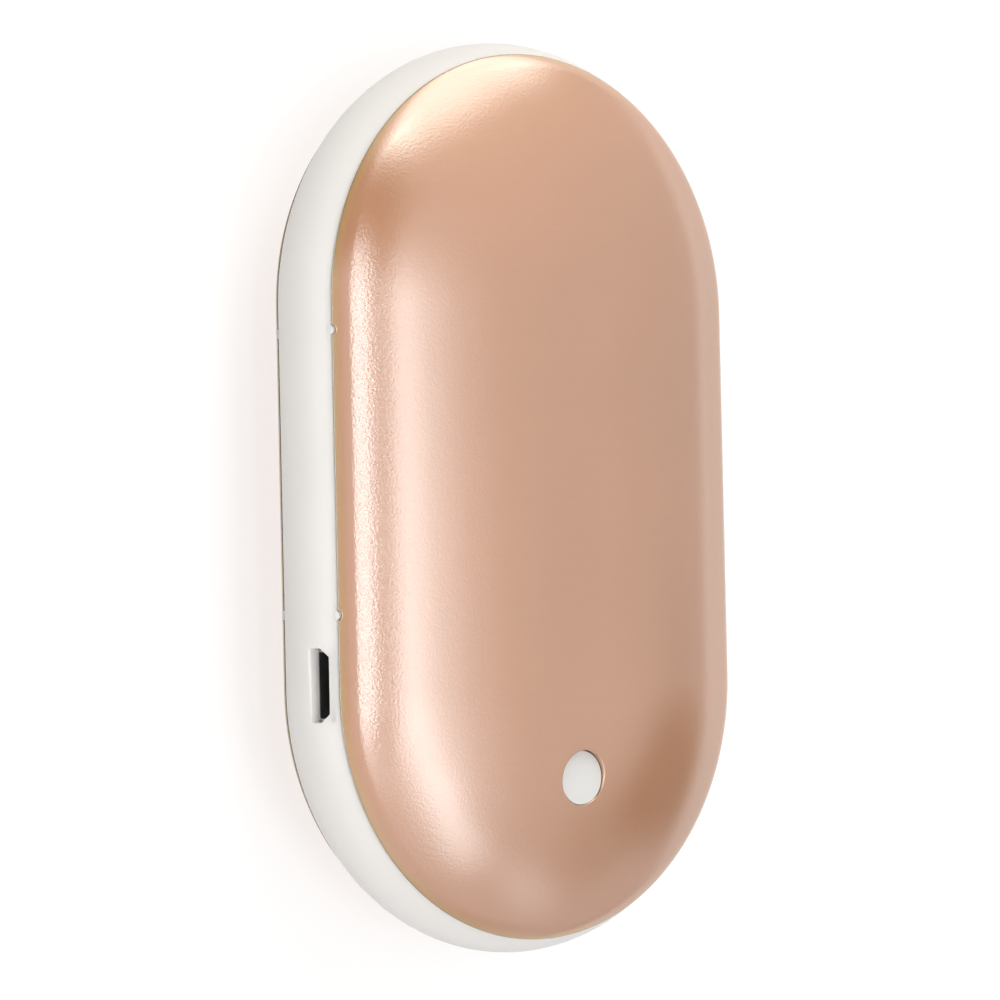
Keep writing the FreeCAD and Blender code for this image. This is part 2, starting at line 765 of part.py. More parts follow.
def cell_fittings():
    """Divider between the cells, their tabs and the protection board at their lower end."""
    block = rectangle(
        "divider_margin - cell_half",
        "cell_half - divider_margin",
        "cell_low + divider_margin",
        "cell_high - divider_margin",
    )
    plates("divider_pad", [block], "divider_thickness", offset="-divider_thickness / 2")
    board = rectangle(
        "-protection_width / 2", "protection_width / 2", "-protection_height / 2", "protection_height / 2"
    )
    piece = new_body("protection_board", y="protection_y")
    pad(piece, draw(piece, "XZ_Plane", [board]), "protection_thickness", reverse=True)
    tabs = []
    for side in ("", "-"):
        for height in ("", "-"):
            tabs.append(
                centred(
                    side + "tab_offset",
                    "%s(protection_height / 2 - tab_thickness)" % height,
                    "tab_width",
                    "tab_thickness",
                )
            )
    piece = new_body("cell_tabs", y="protection_y + protection_thickness")
    pad(piece, draw(piece, "XZ_Plane", tabs), "tab_length", reverse=True)


def usb_socket():
    """Micro-USB socket on the board, its mouth behind the slot of the frame."""
    spot = {"x": "-port_mouth", "y": "port_y", "z": "mid_z + port_height"}

    def tube(inset):
        half = "usb_length / 2 - " + inset
        top = "usb_height / 2 - " + inset
        return [
            ("-(%s)" % half, "-(%s)" % top),
            (half, "-(%s)" % top),
            (half, top + " - usb_chamfer"),
            (half + " - usb_chamfer", top),
            ("-(%s) + usb_chamfer" % half, top),
            ("-(%s)" % half, top + " - usb_chamfer"),
        ]

    shell = new_body("usb_shell", **spot)
    pad(shell, draw(shell, "YZ_Plane", [tube("0 * usb_wall")]), "usb_depth")
    pocket(shell, draw(shell, "YZ_Plane", [tube("usb_wall")]), "usb_depth - usb_wall", reverse=True)
    tongue = new_body("usb_tongue", **spot)
    root = draw(tongue, "YZ_Plane", [tube("usb_wall")], offset="usb_depth - usb_wall")
    pad(tongue, root, "tongue_root", reverse=True)
    blade = centred("0 * usb_wall", "tongue_thickness / 2", "tongue_width", "tongue_thickness")
    length = "usb_depth - usb_wall - tongue_setback"
    pad(tongue, draw(tongue, "YZ_Plane", [blade], offset="tongue_setback"), length)
    contacts = new_body("usb_contacts", **spot)
    strips = []
    for place_in_row in range(-2, 3):
        strips.append(
            centred(
                "%d * contact_pitch" % place_in_row,
                "-contact_thickness / 2",
                "contact_width",
                "contact_thickness",
            )
        )
    strip_length = "usb_depth - usb_wall - tongue_root - contact_setback"
    pad(contacts, draw(contacts, "YZ_Plane", strips, offset="contact_setback"), strip_length)


def push_switch():
    """Push switch on the board under the button: cup, cover, plunger, snap dome and legs."""
    spot = {"y": "button_y", "z": "mid_z + board_top"}
    square = centred("0 * switch_width", "0 * switch_width", "switch_width", "switch_width")
    base = new_body("switch_base", **spot)
    pad(base, draw(base, "XY_Plane", [square]), "switch_base_height")
    bore = draw(base, "XY_Plane", circles=[("0", "0", "switch_bore / 2")], offset="switch_base_height")
    pocket(base, bore, "switch_base_height - switch_floor")
    cover = new_body("switch_cover", **spot)
    pad(cover, draw(cover, "XY_Plane", [square], offset="switch_base_height"), "cover_thickness")
    window = [("0", "0", "plunger_diameter / 2 + plunger_clearance")]
    pocket(cover, draw(cover, "XY_Plane", circles=window, offset="switch_top"), "cover_thickness")
    collar_top = "switch_base_height - plunger_clearance"
    dome_top = "switch_floor + dome_rise"
    plunger = new_body("switch_plunger", **spot)
    profile = [
        ("0", dome_top),
        ("plunger_pin / 2", dome_top),
        ("plunger_pin / 2", collar_top + " - collar_thickness"),
        ("plunger_collar / 2", collar_top + " - collar_thickness"),
        ("plunger_collar / 2", collar_top),
        ("plunger_diameter / 2", collar_top),
        ("plunger_diameter / 2", "plunger_height"),
        ("0", "plunger_height"),
    ]
    revolve(plunger, draw(plunger, "XZ_Plane", [profile]), 360)
    dome = new_body("switch_dome", **spot)
    sphere = "((pow(dome_diameter / 2; 2) + pow(dome_rise; 2)) / (2 * dome_rise))"
    arch = [
        ("0", dome_top + " - dome_thickness"),
        ("0", dome_top, sphere, -1),
        ("dome_diameter / 2", "switch_floor"),
        ("dome_diameter / 2 - dome_thickness", "switch_floor", sphere, 1),
    ]
    revolve(dome, draw(dome, "XZ_Plane", [arch]), 360)
    legs = []
    for x in ("", "-"):
        for y in ("", "-"):
            reach = y + "(switch_width + leg_length) / 2"
            legs.append(centred(x + "leg_spread", reach, "leg_width", "leg_length"))
    plates("switch_legs", legs, "leg_thickness", **spot)


def button_cap():
    """Round button with a bevelled head, a flange that keeps it in and a stem pressed on the plunger."""
    piece = new_body("button_cap", y="button_y")
    bore = "plunger_diameter / 2"
    profile = [
        ("0", "plunger_top"),
        (bore, "plunger_top"),
        (bore, "stem_bottom"),
        ("stem_diameter / 2", "stem_bottom"),
        ("stem_diameter / 2", "flange_top - flange_thickness"),
        ("flange_diameter / 2", "flange_top - flange_thickness"),
        ("flange_diameter / 2", "flange_top"),
        ("button_diameter / 2", "flange_top"),
        ("button_diameter / 2", "cap_top - button_edge"),
        ("button_diameter / 2 - button_edge", "cap_top"),
        ("0", "cap_top"),
    ]
    revolve(piece, draw(piece, "XZ_Plane", [profile]), 360)


def board_parts():
    """Chips, transistors, capacitors, resistors and indicator lamps on the board."""
    top = "mid_z + board_top"
    for label, x in (("charge_chip", "-chip_x"), ("control_chip", "chip_x")):
        width = label + "_width"
        chip = new_body(label, x=x, y="button_y - chip_drop", z=top)
        block = rectangle("-%s / 2" % width, width + " / 2", "-chip_depth / 2", "chip_depth / 2")
        pad(chip, draw(chip, "XY_Plane", [block]), "chip_height")
        legs = []
        for step in (-1.5, -0.5, 0.5, 1.5):
            for side in (1, -1):
                y = "%d * (chip_depth + chip_leg_length) / 2" % side
                legs.append(centred("%s * chip_leg_pitch" % step, y, "chip_leg_width", "chip_leg_length"))
        pad(chip, draw(chip, "XY_Plane", legs), "chip_leg_thickness")
    for label, kind, count in (
        ("heater_transistors", "transistor", 2),
        ("chip_capacitors", "capacitor", 3),
        ("chip_resistors", "resistor", 3),
        ("status_leds", "lamp", 2),
    ):
        blocks = []
        for step in range(count):
            x = "%s_x + %d * %s_pitch" % (kind, step, kind)
            blocks.append(centred(x, "-%s_drop" % kind, kind + "_width", kind + "_depth"))
        plates(label, blocks, kind + "_height", y="button_y", z=top)


def leads():
    """Insulated leads from cells, films and thermistor to the board."""
    battery_end = "protection_y - battery_lead_run"
    for label, x in (
        ("battery_lead_red", "battery_lead_x"),
        ("battery_lead_black", "battery_lead_x + lead_pitch"),
    ):
        run = [(x, "protection_y", "battery_lead_z"), (x, battery_end, "battery_lead_z")]
        cord(label, [run], "lead_radius")

    def film_run(x, radius, side, stop):
        across = "abs(%s) + %s" % (x, radius)
        along = "max(%s - lead_y - half_straight; 0)" % radius
        at_film = "sqrt(pow(film_inside; 2) - pow(%s - land_half; 2))" % across
        corner = "sqrt(pow(%s; 2) + pow(%s; 2)) - land_half" % (across, along)
        at_bend = "sqrt(pow(inner_crown - lead_clearance; 2) - pow(%s; 2))" % corner
        height = "%s * (crown_centre + min(%s; %s) - %s)" % (side, at_film, at_bend, radius)
        return [(x, "film_low + lead_overlap", height), (x, "lead_y", height), (x, "lead_y", stop)]

    for label, spots, radius, side, stop in (
        ("front_heater_leads", FRONT_LEADS, "lead_radius", "1", "board_top"),
        ("back_heater_leads", BACK_LEADS, "lead_radius", "-1", "board_bottom"),
        ("thermistor_leads", THERMISTOR_LEADS, "fine_lead_radius", "1", "board_top"),
    ):
        cord(label, [film_run(x, radius, side, stop) for x in spots], radius)
    seat = "sqrt(pow(film_inside; 2) - pow(abs(thermistor_x) + thermistor_width / 2 - land_half; 2))"
    middle = "film_low + lead_overlap + thermistor_length / 2"
    bead = centred("thermistor_x", middle, "thermistor_width", "thermistor_length")
    plates("thermistor", [bead], "thermistor_height", offset="crown_centre + %s - thermistor_height" % seat)


front_shell = case_shell("front_shell")
add_button_hole(front_shell)
case_shell("back_shell", turn=180)
middle_frame()
inner_chassis()
circuit_board()
screws("board_screws", BOARD_SCREWS, "board_top")
screws("chassis_screws", CHASSIS_SCREWS, "board_bottom")
for end_name, end_turn in (("front", None), ("back", 180)):
    heater_film(end_name + "_heater_film", end_turn)
    foam_pad(end_name + "_foam_pad", end_turn)
    pouch_cell(end_name + "_cell", end_turn)
cell_fittings()
usb_socket()
push_switch()
button_cap()
board_parts()
leads()
doc.recompute()

for item in doc.Objects:
    if "Invalid" in item.State or "Error" in item.State:
        raise RuntimeError("%s did not build: %s" % (item.Label, item.State))
os.makedirs("parts", exist_ok=True)
for piece in PIECES:
    if piece.Shape.isNull() or not piece.Shape.isValid() or not piece.Shape.Solids:
        raise RuntimeError("%s has no sound shape" % piece.Label)
    piece.Shape.exportStep(os.path.join("parts", piece.Label + ".step"))
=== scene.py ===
"""Visual model of a rechargeable hand warmer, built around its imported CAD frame.

The case is a pebble: two domed metal covers on a white middle band, a push button in
the front cover and a charging socket in one flank. Lengths in the classes are
millimetres and heights count from the middle plane of the case. Meshes are written in
metres, in the frame of the CAD model.
"""

import itertools
import logging
import math
from abc import ABC, abstractmethod
from dataclasses import dataclass
from enum import Enum
from typing import Iterable, Sequence

import bmesh
import bpy
from mathutils import Matrix, Vector


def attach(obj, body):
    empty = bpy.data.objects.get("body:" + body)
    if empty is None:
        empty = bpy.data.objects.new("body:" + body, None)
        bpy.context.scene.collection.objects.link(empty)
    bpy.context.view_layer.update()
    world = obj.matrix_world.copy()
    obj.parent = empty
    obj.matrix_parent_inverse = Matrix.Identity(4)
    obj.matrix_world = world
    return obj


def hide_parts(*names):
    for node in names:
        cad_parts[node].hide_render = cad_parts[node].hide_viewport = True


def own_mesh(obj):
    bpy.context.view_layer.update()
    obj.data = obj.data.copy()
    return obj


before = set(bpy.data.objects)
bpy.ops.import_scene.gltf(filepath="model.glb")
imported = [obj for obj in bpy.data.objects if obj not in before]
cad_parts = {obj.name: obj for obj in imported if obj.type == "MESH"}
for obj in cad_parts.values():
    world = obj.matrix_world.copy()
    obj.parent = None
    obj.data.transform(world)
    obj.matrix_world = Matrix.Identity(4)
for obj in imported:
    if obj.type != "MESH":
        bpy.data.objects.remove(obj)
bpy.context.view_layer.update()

MM = 0.001
SHARP_EDGE = 35.0
Point = tuple[float, float, float]
Flat = tuple[float, float]
Colour = tuple[float, float, float]
Socket = bpy.types.NodeSocket
Piece = bpy.types.Object
log = logging.getLogger("hand_warmer")


class Face(Enum):
    """The two sides of the case, with the sign of their height."""

    FRONT = 1
    BACK = -1


class Body(Enum):
    """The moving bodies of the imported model."""

    HOUSING = "housing"
    BUTTON = "button"


class Slot(Enum):
    """The material slots of the record."""

    ROSE_GOLD = "rose_gold"
    WHITE_PLASTIC = "white_plastic"
    BUTTON_WHITE = "button_white"
    CHASSIS_PLASTIC = "chassis_plastic"
    CELL_FOIL = "cell_foil"
    FOAM = "foam"
    FILM = "film"
    BOARD_GREEN = "board_green"
    STEEL = "steel"
    CONTACT_GOLD = "contact_gold"
    NICKEL = "nickel"
    BLACK_PLASTIC = "black_plastic"
    CHIP_CERAMIC = "chip_ceramic"
    LAMP_RESIN = "lamp_resin"
    RED_SLEEVE = "red_sleeve"
    BLACK_SLEEVE = "black_sleeve"
    WHITE_SLEEVE = "white_sleeve"


class Space(Enum):
    """The texture coordinates that node trees read."""

    OBJECT = "Object"
    SKY = "Generated"


class Course(Enum):
    """How a mapped value runs between its ends."""

    STRAIGHT = "LINEAR"
    EASED = "SMOOTHSTEP"


class Sum(Enum):
    """The operations of the number nodes."""

    ADD = "ADD"
    TAKE = "SUBTRACT"
    TIMES = "MULTIPLY"
    LARGER = "MAXIMUM"
    AMOUNT = "ABSOLUTE"


# Finishes


class NodeBoard:
    """A node tree, with short calls for the nodes that materials and the sky share."""

    def __init__(self, tree: bpy.types.NodeTree, space: Space) -> None:
        """Take over a tree.

        Args:
            tree: The node tree to fill.
            space: Which texture coordinate the nodes read.
        """
        self.tree = tree
        self.place = self.node("ShaderNodeTexCoord").outputs[space.value]

    def node(self, kind: str, **settings: object) -> bpy.types.Node:
        """Add a node.

        Args:
            kind: Blender's name of the node type.
            settings: Properties to set on the node.

        Returns:
            The new node.
        """
        made = self.tree.nodes.new(kind)
        for key, value in settings.items():
            setattr(made, key, value)
        return made

    def join(self, out: Socket, into: Socket) -> None:
        """Link an output to an input."""
        self.tree.links.new(out, into)

    def sum(self, operation: Sum, *terms: Socket | float) -> Socket:
        """Work out a sum or another simple operation.

        Args:
            operation: The operation.
            terms: Its terms, as sockets or plain numbers.

        Returns:
            The result.
        """
        made = self.node("ShaderNodeMath", operation=operation.value)
        for term, into in zip(terms, made.inputs):
            if isinstance(term, Socket):
                self.join(term, into)
            else:
                into.default_value = term
        return made.outputs[0]

    def spread(
        self,
        value: Socket,
        low: float,
        high: float,
        start: float = 0.0,
        end: float = 1.0,
        course: Course = Course.STRAIGHT,
    ) -> Socket:
        """Map a value from one range to another.

        Args:
            value: The value to map.
            low: Result at the start of the source range.
            high: Result at its end.
            start: Start of the source range.
            end: End of the source range.
            course: How the result runs between the ends.

        Returns:
            The mapped value.
        """
        made = self.node("ShaderNodeMapRange", interpolation_type=course.value)
        for key, number in (("From Min", start), ("From Max", end), ("To Min", low), ("To Max", high)):
            made.inputs[key].default_value = number
        self.join(value, made.inputs["Value"])
        return made.outputs["Result"]

    def weigh(self, first: tuple[Socket, float], *others: tuple[Socket, float]) -> Socket:
        """Add up values from 0 to 1 by their weights.

        Args:
            first: The first value and its weight.
            others: The other values with theirs.

        Returns:
            The weighted sum.
        """
        total = self.spread(first[0], 0.0, first[1])
        for value, weight in others:
            total = self.sum(Sum.ADD, total, self.spread(value, 0.0, weight))
        return total

    def blend(self, share: Socket, first: Socket | Colour, second: Socket | Colour) -> Socket:
        """Mix two colours.

        Args:
            share: Share of the second colour, from 0 to 1.
            first: Colour at 0.
            second: Colour at 1.

        Returns:
            The mixed colour.
        """
        made = self.node("ShaderNodeMix", data_type="RGBA")
        for colour, key in ((first, "A"), (second, "B")):
            if isinstance(colour, Socket):
                self.join(colour, made.inputs[key])
            else:
                made.inputs[key].default_value = (*colour, 1.0)
        self.join(share, made.inputs["Factor"])
        return made.outputs["Result"]


class NodeSheet(NodeBoard):
    """Node tree of one material, with short calls for the nodes that the finishes share."""

    def __init__(self, name: str) -> None:
        """Start a material that holds only a principled shader.

        Args:
            name: Name of the material.
        """
        self.material = bpy.data.materials.new(name)
        self.material.use_nodes = True
        super().__init__(self.material.node_tree, Space.OBJECT)
        self.shader = self.tree.nodes["Principled BSDF"]

    def set(self, **values: object) -> None:
        """Set plain values on the shader's own sockets.

        Args:
            values: Socket names, with _ for a space, and their values.
        """
        for key, value in values.items():
            self.shader.inputs[key.replace("_", " ")].default_value = value

    def noise(self, scale: float, detail: float = 2.0, stretch: Point | None = None) -> Socket:
        """Add noise in the object's own space.

        Args:
            scale: Features per metre.
            detail: Octaves of finer noise.
            stretch: Factors on the three axes, for grain with a direction.

        Returns:
            The noise value.
        """
        place = self.place
        if stretch:
            mapping = self.node("ShaderNodeMapping")
            mapping.inputs["Scale"].default_value = stretch
            self.join(place, mapping.inputs["Vector"])
            place = mapping.outputs["Vector"]
        made = self.node("ShaderNodeTexNoise")
        made.inputs["Scale"].default_value = scale
        made.inputs["Detail"].default_value = detail
        self.join(place, made.inputs["Vector"])
        return made.outputs["Fac"]

    def cells(self, scale: float) -> Socket:
        """Add cell noise in the object's own space.

        Args:
            scale: Cells per metre.

        Returns:
            The distance from the nearest cell's middle.
        """
        made = self.node("ShaderNodeTexVoronoi")
        made.inputs["Scale"].default_value = scale
        self.join(self.place, made.inputs["Vector"])
        return made.outputs["Distance"]

    def waves(self, scale: float, axis: str, waver: float = 0.0) -> Socket:
        """Add even waves in the object's own space.

        Args:
            scale: Scale of the waves.
            axis: Name of the axis that they follow each other along.
            waver: How far noise bends them.

        Returns:
            The wave value.
        """
        made = self.node("ShaderNodeTexWave", bands_direction=axis)
        made.inputs["Scale"].default_value = scale
        made.inputs["Distortion"].default_value = waver
        self.join(self.place, made.inputs["Vector"])
        return made.outputs["Fac"]

    def colour(self, share: Socket, first: Socket | Colour, second: Socket | Colour) -> None:
        """Let the shader's base colour vary between two colours by a share."""
        self.join(self.blend(share, first, second), self.shader.inputs["Base Color"])

    def roughness(self, value: Socket, low: float, high: float) -> None:
        """Let the shader's roughness vary between two values."""
        self.join(self.spread(value, low, high), self.shader.inputs["Roughness"])

    def bump(self, height: Socket, depth: float) -> Socket:
        """Add relief to the shader's normal.

        Args:
            height: Height of the relief, from 0 to 1.
            depth: Depth of the relief at 1, in millimetres.

        Returns:
            The bent normal.
        """
        made = self.node("ShaderNodeBump")
        made.inputs["Strength"].default_value = 1.0
        made.inputs["Distance"].default_value = depth * MM
        self.join(height, made.inputs["Height"])
        self.join(made.outputs["Normal"], self.shader.inputs["Normal"])
        return made.outputs["Normal"]


def deeper(colour: Colour, factor: float) -> Colour:
    """Scale a colour.

    Args:
        colour: The colour to scale.
        factor: Factor on each channel.

    Returns:
        The scaled colour.
    """
    return tuple(min(channel * factor, 1.0) for channel in colour)


@dataclass(frozen=True)
class Finish(ABC):
    """How one kind of surface looks: its tint with the factors it varies by, its gloss and its relief."""

    slot: Slot
    tint: Colour
    shades: Flat = (0.9, 1.08)
    gloss: Flat = (0.4, 0.55)
    relief: float = 0.004

    @abstractmethod
    def dress(self, sheet: NodeSheet) -> None:
        """Fill a material's node tree.

        Args:
            sheet: The node tree to fill.
        """

    def ends(self) -> tuple[Colour, Colour]:
        """The two ends of the finish's range of tints."""
        return deeper(self.tint, self.shades[0]), deeper(self.tint, self.shades[1])

    def material(self) -> bpy.types.Material:
        """Make the finish's material.

        Returns:
            The new material.
        """
        sheet = NodeSheet(self.slot.value)
        self.dress(sheet)
        return sheet.material


@dataclass(frozen=True)
class BlastedAluminium(Finish):
    """Bead-blasted, dyed and sealed aluminium: a soft coloured sheen under a clear oxide skin."""

    tint: Colour = (0.63, 0.357, 0.216)
    shades: Flat = (0.975, 1.02)
    gloss: Flat = (0.7, 0.8)
    relief: float = 0.013
    edge_tint: Colour = (0.62, 0.44, 0.35)
    # Painted reflection: a paler, yellower band painted on the rolled rim just above the seam, standing in
    # for the rim's reflection of the low side light.
    rim_reflection_tint: Colour = (0.62, 0.39, 0.2)
    rim_reflection_span: Flat = (5.3, 5.5)
    # Painted shade: a dark olive line painted along the rim at the seam, standing in for the shadow of the
    # gap between band and cover.
    seam_shade_tint: Colour = (0.32, 0.24, 0.1)
    seam_shade_span: Flat = (4.86, 5.0)
    middle: float = 12.0
    drift_scale: float = 55.0
    drift_span: Flat = (0.3, 0.7)
    bead_scale: float = 3600.0
    draw_scale: float = 1500.0
    draw_stretch: Point = (0.03, 1.0, 1.0)
    draw_relief: float = 0.2
    dull_shares: Point = (0.4, 0.3, 0.3)
    cut_place: Point = (0.0, -30.55, 23.2)
    cut_span: Flat = (2.99, 3.03)
    cut_gloss: float = 0.14
    skin_weight: float = 0.75
    skin_roughness: float = 0.14
    skin_index: float = 2.8

    def dress(self, sheet: NodeSheet) -> None:
        """Colour drifts slowly, with painted shade at the seam and a painted reflection on the rim, and
        blasted grain and draw lines bend the light.

        Args:
            sheet: The node tree to fill.
        """
        drift = sheet.noise(self.drift_scale, detail=3.0)
        grain = sheet.noise(self.bead_scale, detail=3.0)
        draw = sheet.noise(self.draw_scale, stretch=self.draw_stretch)
        self.dye(sheet, drift)
        self.dull(sheet, sheet.weigh(*zip((grain, draw, drift), self.dull_shares)))
        normal = sheet.bump(sheet.weigh((grain, 1.0), (draw, self.draw_relief)), self.relief)
        sheet.join(normal, sheet.shader.inputs["Coat Normal"])
        sheet.set(Metallic=1.0, Specular_Tint=(*self.edge_tint, 1.0), Coat_Weight=self.skin_weight)
        sheet.set(Coat_Roughness=self.skin_roughness, Coat_IOR=self.skin_index)

    def dye(self, sheet: NodeSheet, drift: Socket) -> None:
        """Colour the cover, with a painted reflection as a paler band on the rim and painted shade as a dark
        line at the seam.

        Args:
            sheet: The node tree to fill.
            drift: Slow noise that the dye varies by.
        """
        parts = sheet.node("ShaderNodeSeparateXYZ")
        sheet.join(sheet.place, parts.inputs[0])
        height = sheet.sum(Sum.AMOUNT, sheet.sum(Sum.TAKE, parts.outputs["Z"], self.middle * MM))
        # By height from the middle plane: painted shade at the seam, then a painted reflection on the rim,
        # then the dyed colour.
        lip, clear = (
            sheet.spread(height, 0.0, 1.0, start * MM, end * MM, Course.EASED)
            for start, end in (self.seam_shade_span, self.rim_reflection_span)
        )
        dyed = sheet.blend(sheet.spread(drift, 0.0, 1.0, *self.drift_span), *self.ends())
        sheet.colour(clear, sheet.blend(lip, self.seam_shade_tint, self.rim_reflection_tint), dyed)

    def dull(self, sheet: NodeSheet, share: Socket) -> None:
        """Set the roughness, with a bright cut edge around the button hole.

        Args:
            sheet: The node tree to fill.
            share: How dull the blasted surface is at a place, from 0 to 1.
        """
        away = sheet.node("ShaderNodeVectorMath", operation="DISTANCE")
        sheet.join(sheet.place, away.inputs[0])
        away.inputs[1].default_value = [length * MM for length in self.cut_place]
        start, end = (length * MM for length in self.cut_span)
        matt = sheet.spread(away.outputs["Value"], 0.0, 1.0, start, end)
        blasted = sheet.sum(Sum.TIMES, sheet.spread(share, *self.gloss), matt)
        sheet.join(sheet.sum(Sum.LARGER, blasted, self.cut_gloss), sheet.shader.inputs["Roughness"])


@dataclass(frozen=True)
class MouldedPlastic(Finish):
    """Moulded plastic with a fine eroded texture and slow changes of gloss."""

    tint: Colour = (0.8, 0.772, 0.747)
    shades: Flat = (0.985, 1.01)
    gloss: Flat = (0.38, 0.48)
    relief: float = 0.002
    drift_scale: float = 70.0
    drift_span: Flat = (0.3, 0.7)
    grain_scale: float = 2600.0
    dull_shares: Flat = (0.6, 0.4)
    glow: float = 0.0
    glow_depth: float = 0.4

    def dress(self, sheet: NodeSheet) -> None:
        """Eroded grain, with a faint drift of shade where the melt cooled.

        Args:
            sheet: The node tree to fill.
        """
        drift = sheet.noise(self.drift_scale)
        grain = sheet.noise(self.grain_scale, detail=4.0)
        sheet.colour(sheet.spread(drift, 0.0, 1.0, *self.drift_span), *self.ends())
        sheet.roughness(sheet.weigh(*zip((grain, drift), self.dull_shares)), *self.gloss)
        sheet.bump(grain, self.relief)
        if self.glow:
            sheet.set(Subsurface_Weight=self.glow, Subsurface_Scale=self.glow_depth * MM)
            sheet.set(Subsurface_Radius=(1.0, 1.0, 1.0))


@dataclass(frozen=True)
class FoilPouch(Finish):
    """Aluminium laminate of a pouch cell, slightly creased."""

    tint: Colour = (0.5, 0.51, 0.54)
    gloss: Flat = (0.28, 0.42)
    relief: float = 0.05
    crease_scale: float = 160.0
    crease_stretch: Point = (1.0, 0.25, 1.0)
    emboss_scale: float = 2400.0
    emboss_share: float = 0.15
    metal_share: float = 0.9

    def dress(self, sheet: NodeSheet) -> None:
        """Long soft creases over a fine embossed grid.

        Args:
            sheet: The node tree to fill.
        """
        crease = sheet.noise(self.crease_scale, 3.0, self.crease_stretch)
        emboss = sheet.cells(self.emboss_scale)
        sheet.colour(crease, *self.ends())
        sheet.roughness(crease, *self.gloss)
        sheet.bump(sheet.weigh((crease, 1.0), (emboss, self.emboss_share)), self.relief)
        sheet.set(Metallic=self.metal_share)


@dataclass(frozen=True)
class ClosedCellFoam(Finish):
    """Soft foam with small closed cells."""

    tint: Colour = (0.72, 0.70, 0.64)
    shades: Flat = (1.1, 0.75)
    gloss: Flat = (0.85, 0.95)
    relief: float = 0.06
    cell_scale: float = 3600.0

    def dress(self, sheet: NodeSheet) -> None:
        """Cells of about a quarter of a millimetre, darker between them.

        Args:
            sheet: The node tree to fill.
        """
        cell = sheet.cells(self.cell_scale)
        sheet.colour(cell, *self.ends())
        sheet.roughness(cell, *self.gloss)
        sheet.bump(cell, self.relief)


@dataclass(frozen=True)
class HeaterFilm(Finish):
    """Amber film with an etched heating track that runs to and fro under it."""

    tint: Colour = (0.52, 0.2, 0.03)
    gloss: Flat = (0.22, 0.36)
    relief: float = 0.02
    track: Colour = (0.62, 0.47, 0.34)
    track_scale: float = 95.0
    track_waver: float = 0.3
    track_edge: Flat = (0.45, 0.6)
    haze_scale: float = 900.0

    def dress(self, sheet: NodeSheet) -> None:
        """Broad waves across the film stand for the track, with a little relief.

        Args:
            sheet: The node tree to fill.
        """
        wave = sheet.waves(self.track_scale, "Y", self.track_waver)
        trace = sheet.spread(wave, 0.0, 1.0, *self.track_edge)
        sheet.colour(trace, self.tint, self.track)
        sheet.roughness(sheet.noise(self.haze_scale), *self.gloss)
        sheet.bump(trace, self.relief)


@dataclass(frozen=True)
class BoardLaminate(Finish):
    """Solder mask over woven glass laminate."""

    tint: Colour = (0.012, 0.09, 0.035)
    shades: Flat = (0.8, 1.35)
    gloss: Flat = (0.22, 0.34)
    relief: float = 0.006
    weave_scale: float = 420.0
    haze_scale: float = 700.0

    def dress(self, sheet: NodeSheet) -> None:
        """The glass weave shows as a faint grid under the mask.

        Args:
            sheet: The node tree to fill.
        """
        weave = sheet.weigh(*((sheet.waves(self.weave_scale, axis), 0.5) for axis in "XY"))
        sheet.colour(weave, *self.ends())
        sheet.roughness(sheet.noise(self.haze_scale), *self.gloss)
        sheet.bump(weave, self.relief)


@dataclass(frozen=True)
class PlatedMetal(Finish):
    """Stamped or turned metal with a thin plating and fine tool lines."""

    tint: Colour = (0.55, 0.55, 0.56)
    shades: Flat = (0.92, 1.05)
    gloss: Flat = (0.24, 0.4)
    lines: Point = (1.0, 14.0, 14.0)
    line_scale: float = 520.0
    patch_scale: float = 380.0
    dull_shares: Flat = (0.6, 0.4)

    def dress(self, sheet: NodeSheet) -> None:
        """Tool lines run one way and dull patches drift across.

        Args:
            sheet: The node tree to fill.
        """
        line = sheet.noise(self.line_scale, 3.0, self.lines)
        patch = sheet.noise(self.patch_scale)
        sheet.colour(patch, *self.ends())
        sheet.roughness(sheet.weigh(*zip((line, patch), self.dull_shares)), *self.gloss)
        sheet.bump(line, self.relief)
        sheet.set(Metallic=1.0)


@dataclass(frozen=True)
class FiredCeramic(Finish):
    """Fired ceramic chip body with a speckled, slightly rough skin."""

    tint: Colour = (0.34, 0.22, 0.13)
    shades: Flat = (0.75, 1.25)
    gloss: Flat = (0.4, 0.6)
    speck_scale: float = 6000.0

    def dress(self, sheet: NodeSheet) -> None:
        """Fine specks of glaze.

        Args:
            sheet: The node tree to fill.
        """
        speck = sheet.noise(self.speck_scale, detail=4.0)
        sheet.colour(speck, *self.ends())
        sheet.roughness(speck, *self.gloss)
        sheet.bump(speck, self.relief)


@dataclass(frozen=True)
class ClearResin(Finish):
    """Clear yellowish lamp resin."""

    tint: Colour = (0.83, 0.72, 0.32)
    shades: Flat = (0.9, 1.1)
    gloss: Flat = (0.08, 0.2)
    cloud_scale: float = 1500.0
    clearness: float = 0.25
    index: float = 1.5

    def dress(self, sheet: NodeSheet) -> None:
        """Slightly cloudy inside and glossy outside.

        Args:
            sheet: The node tree to fill.
        """
        cloud = sheet.noise(self.cloud_scale)
        sheet.colour(cloud, *self.ends())
        sheet.roughness(cloud, *self.gloss)
        sheet.set(Transmission_Weight=self.clearness, IOR=self.index)


@dataclass(frozen=True)
class WireSleeve(Finish):
    """Soft extruded insulation of a thin lead."""

    tint: Colour = (0.6, 0.02, 0.015)
    relief: float = 0.006
    streak_scale: float = 1400.0
    streak_stretch: Point = (1.0, 0.1, 0.1)

    def dress(self, sheet: NodeSheet) -> None:
        """Drawn streaks and a slightly powdery gloss.

        Args:
            sheet: The node tree to fill.
        """
        streak = sheet.noise(self.streak_scale, stretch=self.streak_stretch)
        sheet.colour(streak, *self.ends())
        sheet.roughness(streak, *self.gloss)
        sheet.bump(streak, self.relief)


